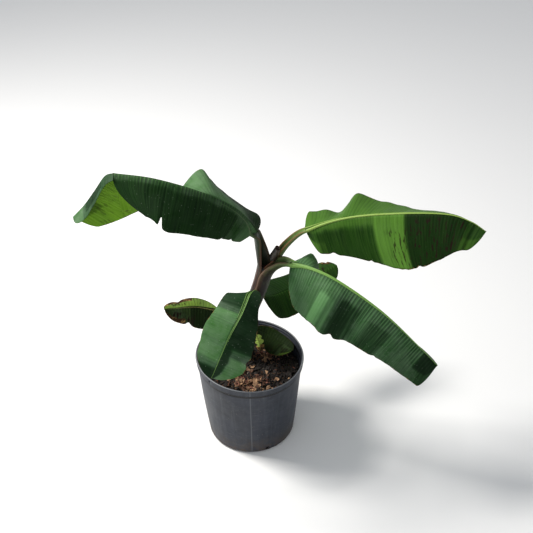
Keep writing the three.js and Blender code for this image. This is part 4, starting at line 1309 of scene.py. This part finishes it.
WITHERED = leaf_finish(
    "leaf_withered", rgb(76, 90, 34), rgb(116, 136, 54), rgb(150, 166, 84), rgb(136, 160, 70), 0.6,
    pleat_highlight=0.4, dust_and_sheen=0.1, shift=100.0,
)
PALE_UNDER = leaf_finish(
    "leaf_pale_under", rgb(78, 118, 24), rgb(104, 148, 34), rgb(144, 182, 70), rgb(124, 168, 44),
    0.5, pleat_highlight=0.35, shift=120.0,
)
GREY_UNDER = leaf_finish(
    "leaf_grey_under", rgb(40, 70, 38), rgb(58, 92, 50), rgb(100, 130, 86), rgb(90, 128, 68), 0.55,
    pleat_highlight=0.4, dust_and_sheen=0.1, shift=140.0,
)
DUSKY_STALK = stalk_finish(
    "stalk_dusky", rgb(30, 38, 26), rgb(58, 82, 46), rgb(94, 64, 50), rgb(18, 17, 14), 0.6,
)
GREEN_STALK = stalk_finish(
    "stalk_green", rgb(54, 78, 38), rgb(136, 164, 78), rgb(132, 74, 60), rgb(38, 42, 28), 0.4,
)
PALE_STALK = stalk_finish(
    "stalk_pale", rgb(42, 36, 28), rgb(116, 156, 78), rgb(98, 72, 56), rgb(34, 30, 25), 0.75,
)
OLD_STALK = stalk_finish(
    "stalk_old", rgb(60, 58, 36), rgb(98, 96, 50), rgb(110, 66, 52), rgb(40, 30, 24), 0.6, 0.6,
)

# Upper side, underside, stalk, pleat height, ripple of the free edge, and the rib's size and sink.
LOOK = {
    "left_leaf": (DARK_UPPER, PALE_UNDER, DUSKY_STALK, 0.3, 3.0, 0.4, 1.5),
    "left_leaf_tip": (GREY_UPPER, PALE_UNDER, DUSKY_STALK, 0.5, 3.5, 0.4, 1.5),
    "lower_right_leaf": (BLUE_UPPER, GREY_UNDER, PALE_STALK, 0.5, 4.0, 0.38, 0.3),
    "upper_right_leaf": (BRIGHT_UPPER, PALE_UNDER, GREEN_STALK, 0.18, 2.5, 0.6, 0.3),
    "front_leaf": (GREY_UPPER, GREY_UNDER, PALE_STALK, 0.35, 2.0, 0.9, 0.25),
    "back_leaf": (BRIGHT_UPPER, GREY_UNDER, OLD_STALK, 0.5, 3.0, 0.6, 1.0),
    "lower_left_leaf": (OLD_UPPER, PALE_UNDER, OLD_STALK, 0.4, 3.5, 0.7, 0.8),
    "pot_leaf": (OLD_UPPER, PALE_UNDER, OLD_STALK, 0.4, 2.5, 0.7, 0.8),
    "withered_leaf": (WITHERED, WITHERED, OLD_STALK, 0.3, 2.5, 0.6, 0.5),
}
WRAPPED = {  # where the big stalks start as sheaths on the false stem, and how wide
    "left_leaf": ([(24, 28, 412), (37, 22, 462)], (19, 18)),
    "lower_right_leaf": ([(14, 31, 380), (34, 24, 440)], (20, 19)),
    "upper_right_leaf": ([(40, 21, 474)], (13, 13)),
}

BLADE_SEED, CHIP_SEED, FIBRE_SEED = 100, 300, 400
FIBRE_COUNT = 320
# Where the rib is sunk this deep, the halves of the blade close over it instead of starting
# beside it; a root is how far out from the middle they start, as a share of the rib's width.
DEEP_RIB, ROOT_BESIDE, ROOT_OVER = 0.6, 0.35, 0.02

for number, (leaf_name, leaf) in enumerate(LEAVES.items()):
    upper, under, stalk, pleat, ripple, rib, sunk = LOOK[leaf_name]
    root = ROOT_BESIDE if sunk < DEEP_RIB else ROOT_OVER
    blade = blade_piece(
        f"{leaf_name}_blade", leaf, upper, under, BLADE_SEED + 50 * number, pleat, ripple, root
    )
    nodes = [n for name, half in leaf["halves"].items() for n in half.get("nodes", [name])]
    settle(blade, "leaf_blade", *[f"{leaf_name}_{node_name}" for node_name in nodes])
    foot_points, foot_size = WRAPPED.get(leaf_name, ((), None))
    midrib = stalk_piece(
        f"{leaf_name}_stalk", leaf, stalk, foot_points, foot_size, rib=rib, sunk=sunk
    )
    settle(midrib, "leaf_stalk", f"{leaf_name}_rib")

settle(stem_piece(stem_finish()), "stem", "stem")
settle(spear_piece(stem_finish()), "dry_leaf", "cut_spear_leaf")
settle(pot_piece(pot_finish()), "pot_plastic", "pot")
settle(soil_piece(bark_finish("bark_bed", rgb(10, 7, 6), rgb(24, 17, 13))), "bark_mix", "soil")


def sunlit_spots(x, y):
    """Where the light chips lie thickest, as painted light: a sunlit spot at the front of the pot, left of the
    middle, and a smaller one further back, right of the middle.
    """
    front = math.exp(-(((x + 6) / 32) ** 2) - ((y + 66) / 38) ** 2)
    behind = math.exp(-(((x - 44) / 20) ** 2) - ((y - 40) / 20) ** 2)
    return 0.015 + 0.985 * max(front, 0.8 * behind)


def anywhere(*_):
    return 1.0


def shaded(x, y):
    return 1.0 - 0.6 * sunlit_spots(x, y)


# The light chips lie thickest in the sunlit spots and the dark ones away from them, so the bark mix carries
# painted light and painted shade.
CHIPS = [  # name, deep and light colour, how many, shortest and longest, and where they lie
    ("dark", rgb(14, 10, 8), rgb(34, 24, 18), 1700, (7, 22), shaded),
    ("brown", rgb(52, 32, 22), rgb(100, 66, 46), 200, (10, 26), sunlit_spots),
    ("tan", rgb(116, 84, 62), rgb(182, 146, 112), 150, (12, 30), sunlit_spots),
    ("red", rgb(84, 46, 36), rgb(140, 92, 74), 120, (9, 22), sunlit_spots),
    ("pale", rgb(160, 148, 130), rgb(206, 196, 180), 60, (3, 7), sunlit_spots),
    ("crumb", rgb(12, 9, 7), rgb(40, 28, 21), 1500, (2.5, 6), anywhere),
]
CRUMBS = {"pale": "crumbs_pale", "crumb": "crumbs_dark"}
for number, (kind, deep, light, count, sizes, where) in enumerate(CHIPS):
    chips = strewn(CRUMBS.get(kind, f"chips_{kind}"), bark_finish(f"bark_{kind}", deep, light),
                   count, CHIP_SEED + number, sizes, where)
    settle(chips, "bark_mix")
FIBRES = bark_finish("husk_fibre", rgb(84, 54, 36), rgb(140, 100, 68))
settle(fibre_piece("husk_fibres", FIBRES, FIBRE_COUNT, FIBRE_SEED), "bark_mix")


# ---------------------------------------------------------------- studio
LIGHTS = [  # name, place in metres, size, power, colour
    ("key_light", (-1.7, 0.5, 2.6), 0.8, 115, (1.0, 0.97, 0.92)),
    ("front_light", (-1.1, -2.5, 1.5), 2.2, 10, (0.92, 0.97, 1.0)),
]
LIGHTS_AIM = Vector((0, 0, 0.4))
SKY_COLOUR, SKY_STRENGTH = (0.93, 0.96, 1.0, 1), 0.5
CAMERA_AT = Vector((0, -1.6876, 1.6827))
CAMERA_TURN, CAMERA_PITCH, CAMERA_ROLL = np.radians((1.62, 34.8, -1.15))
SENSOR, LENS = 36, 58.76


def studio():
    bpy.ops.mesh.primitive_plane_add(size=14, location=(0, 2, 0))
    floor = bpy.context.object
    floor.name = "studio_floor"
    floor.data.materials.append(floor_finish())
    floor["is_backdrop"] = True
    world = bpy.data.worlds.new("studio")
    world.use_nodes = True
    sky = world.node_tree.nodes["Background"].inputs
    sky["Color"].default_value, sky["Strength"].default_value = SKY_COLOUR, SKY_STRENGTH
    bpy.context.scene.world = world
    for name, at, size, power, colour in LIGHTS:
        light = bpy.data.lights.new(name, "AREA")
        light.size, light.energy, light.color = size, power, colour
        lamp = bpy.data.objects.new(name, light)
        lamp.location = at
        lamp.rotation_euler = (LIGHTS_AIM - Vector(at)).to_track_quat("-Z", "Y").to_euler()
        bpy.context.collection.objects.link(lamp)


def camera():
    """A long lens looking down on the plant from the front."""
    level = math.cos(CAMERA_PITCH)
    ahead = Vector((math.sin(CAMERA_TURN) * level, math.cos(CAMERA_TURN) * level,
                    -math.sin(CAMERA_PITCH)))
    right = ahead.cross(Vector((0, 0, 1))).normalized()
    up = right.cross(ahead)
    level_right = right * math.cos(CAMERA_ROLL) + up * math.sin(CAMERA_ROLL)
    level_up = up * math.cos(CAMERA_ROLL) - right * math.sin(CAMERA_ROLL)
    lens = bpy.data.cameras.new("camera")
    lens.sensor_width, lens.lens = SENSOR, LENS
    made = bpy.data.objects.new("camera", lens)
    axes = Matrix((level_right, level_up, -ahead)).transposed().to_4x4()
    made.matrix_world = Matrix.Translation(CAMERA_AT) @ axes
    bpy.context.collection.objects.link(made)
    bpy.context.scene.camera = made
    bpy.context.scene.view_settings.view_transform = "Standard"


studio()
camera()
dressed_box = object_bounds()
sizes = {"solids": [list(map(float, c)) for c in solid_box], "dressed": [list(map(float, c)) for c in dressed_box]}
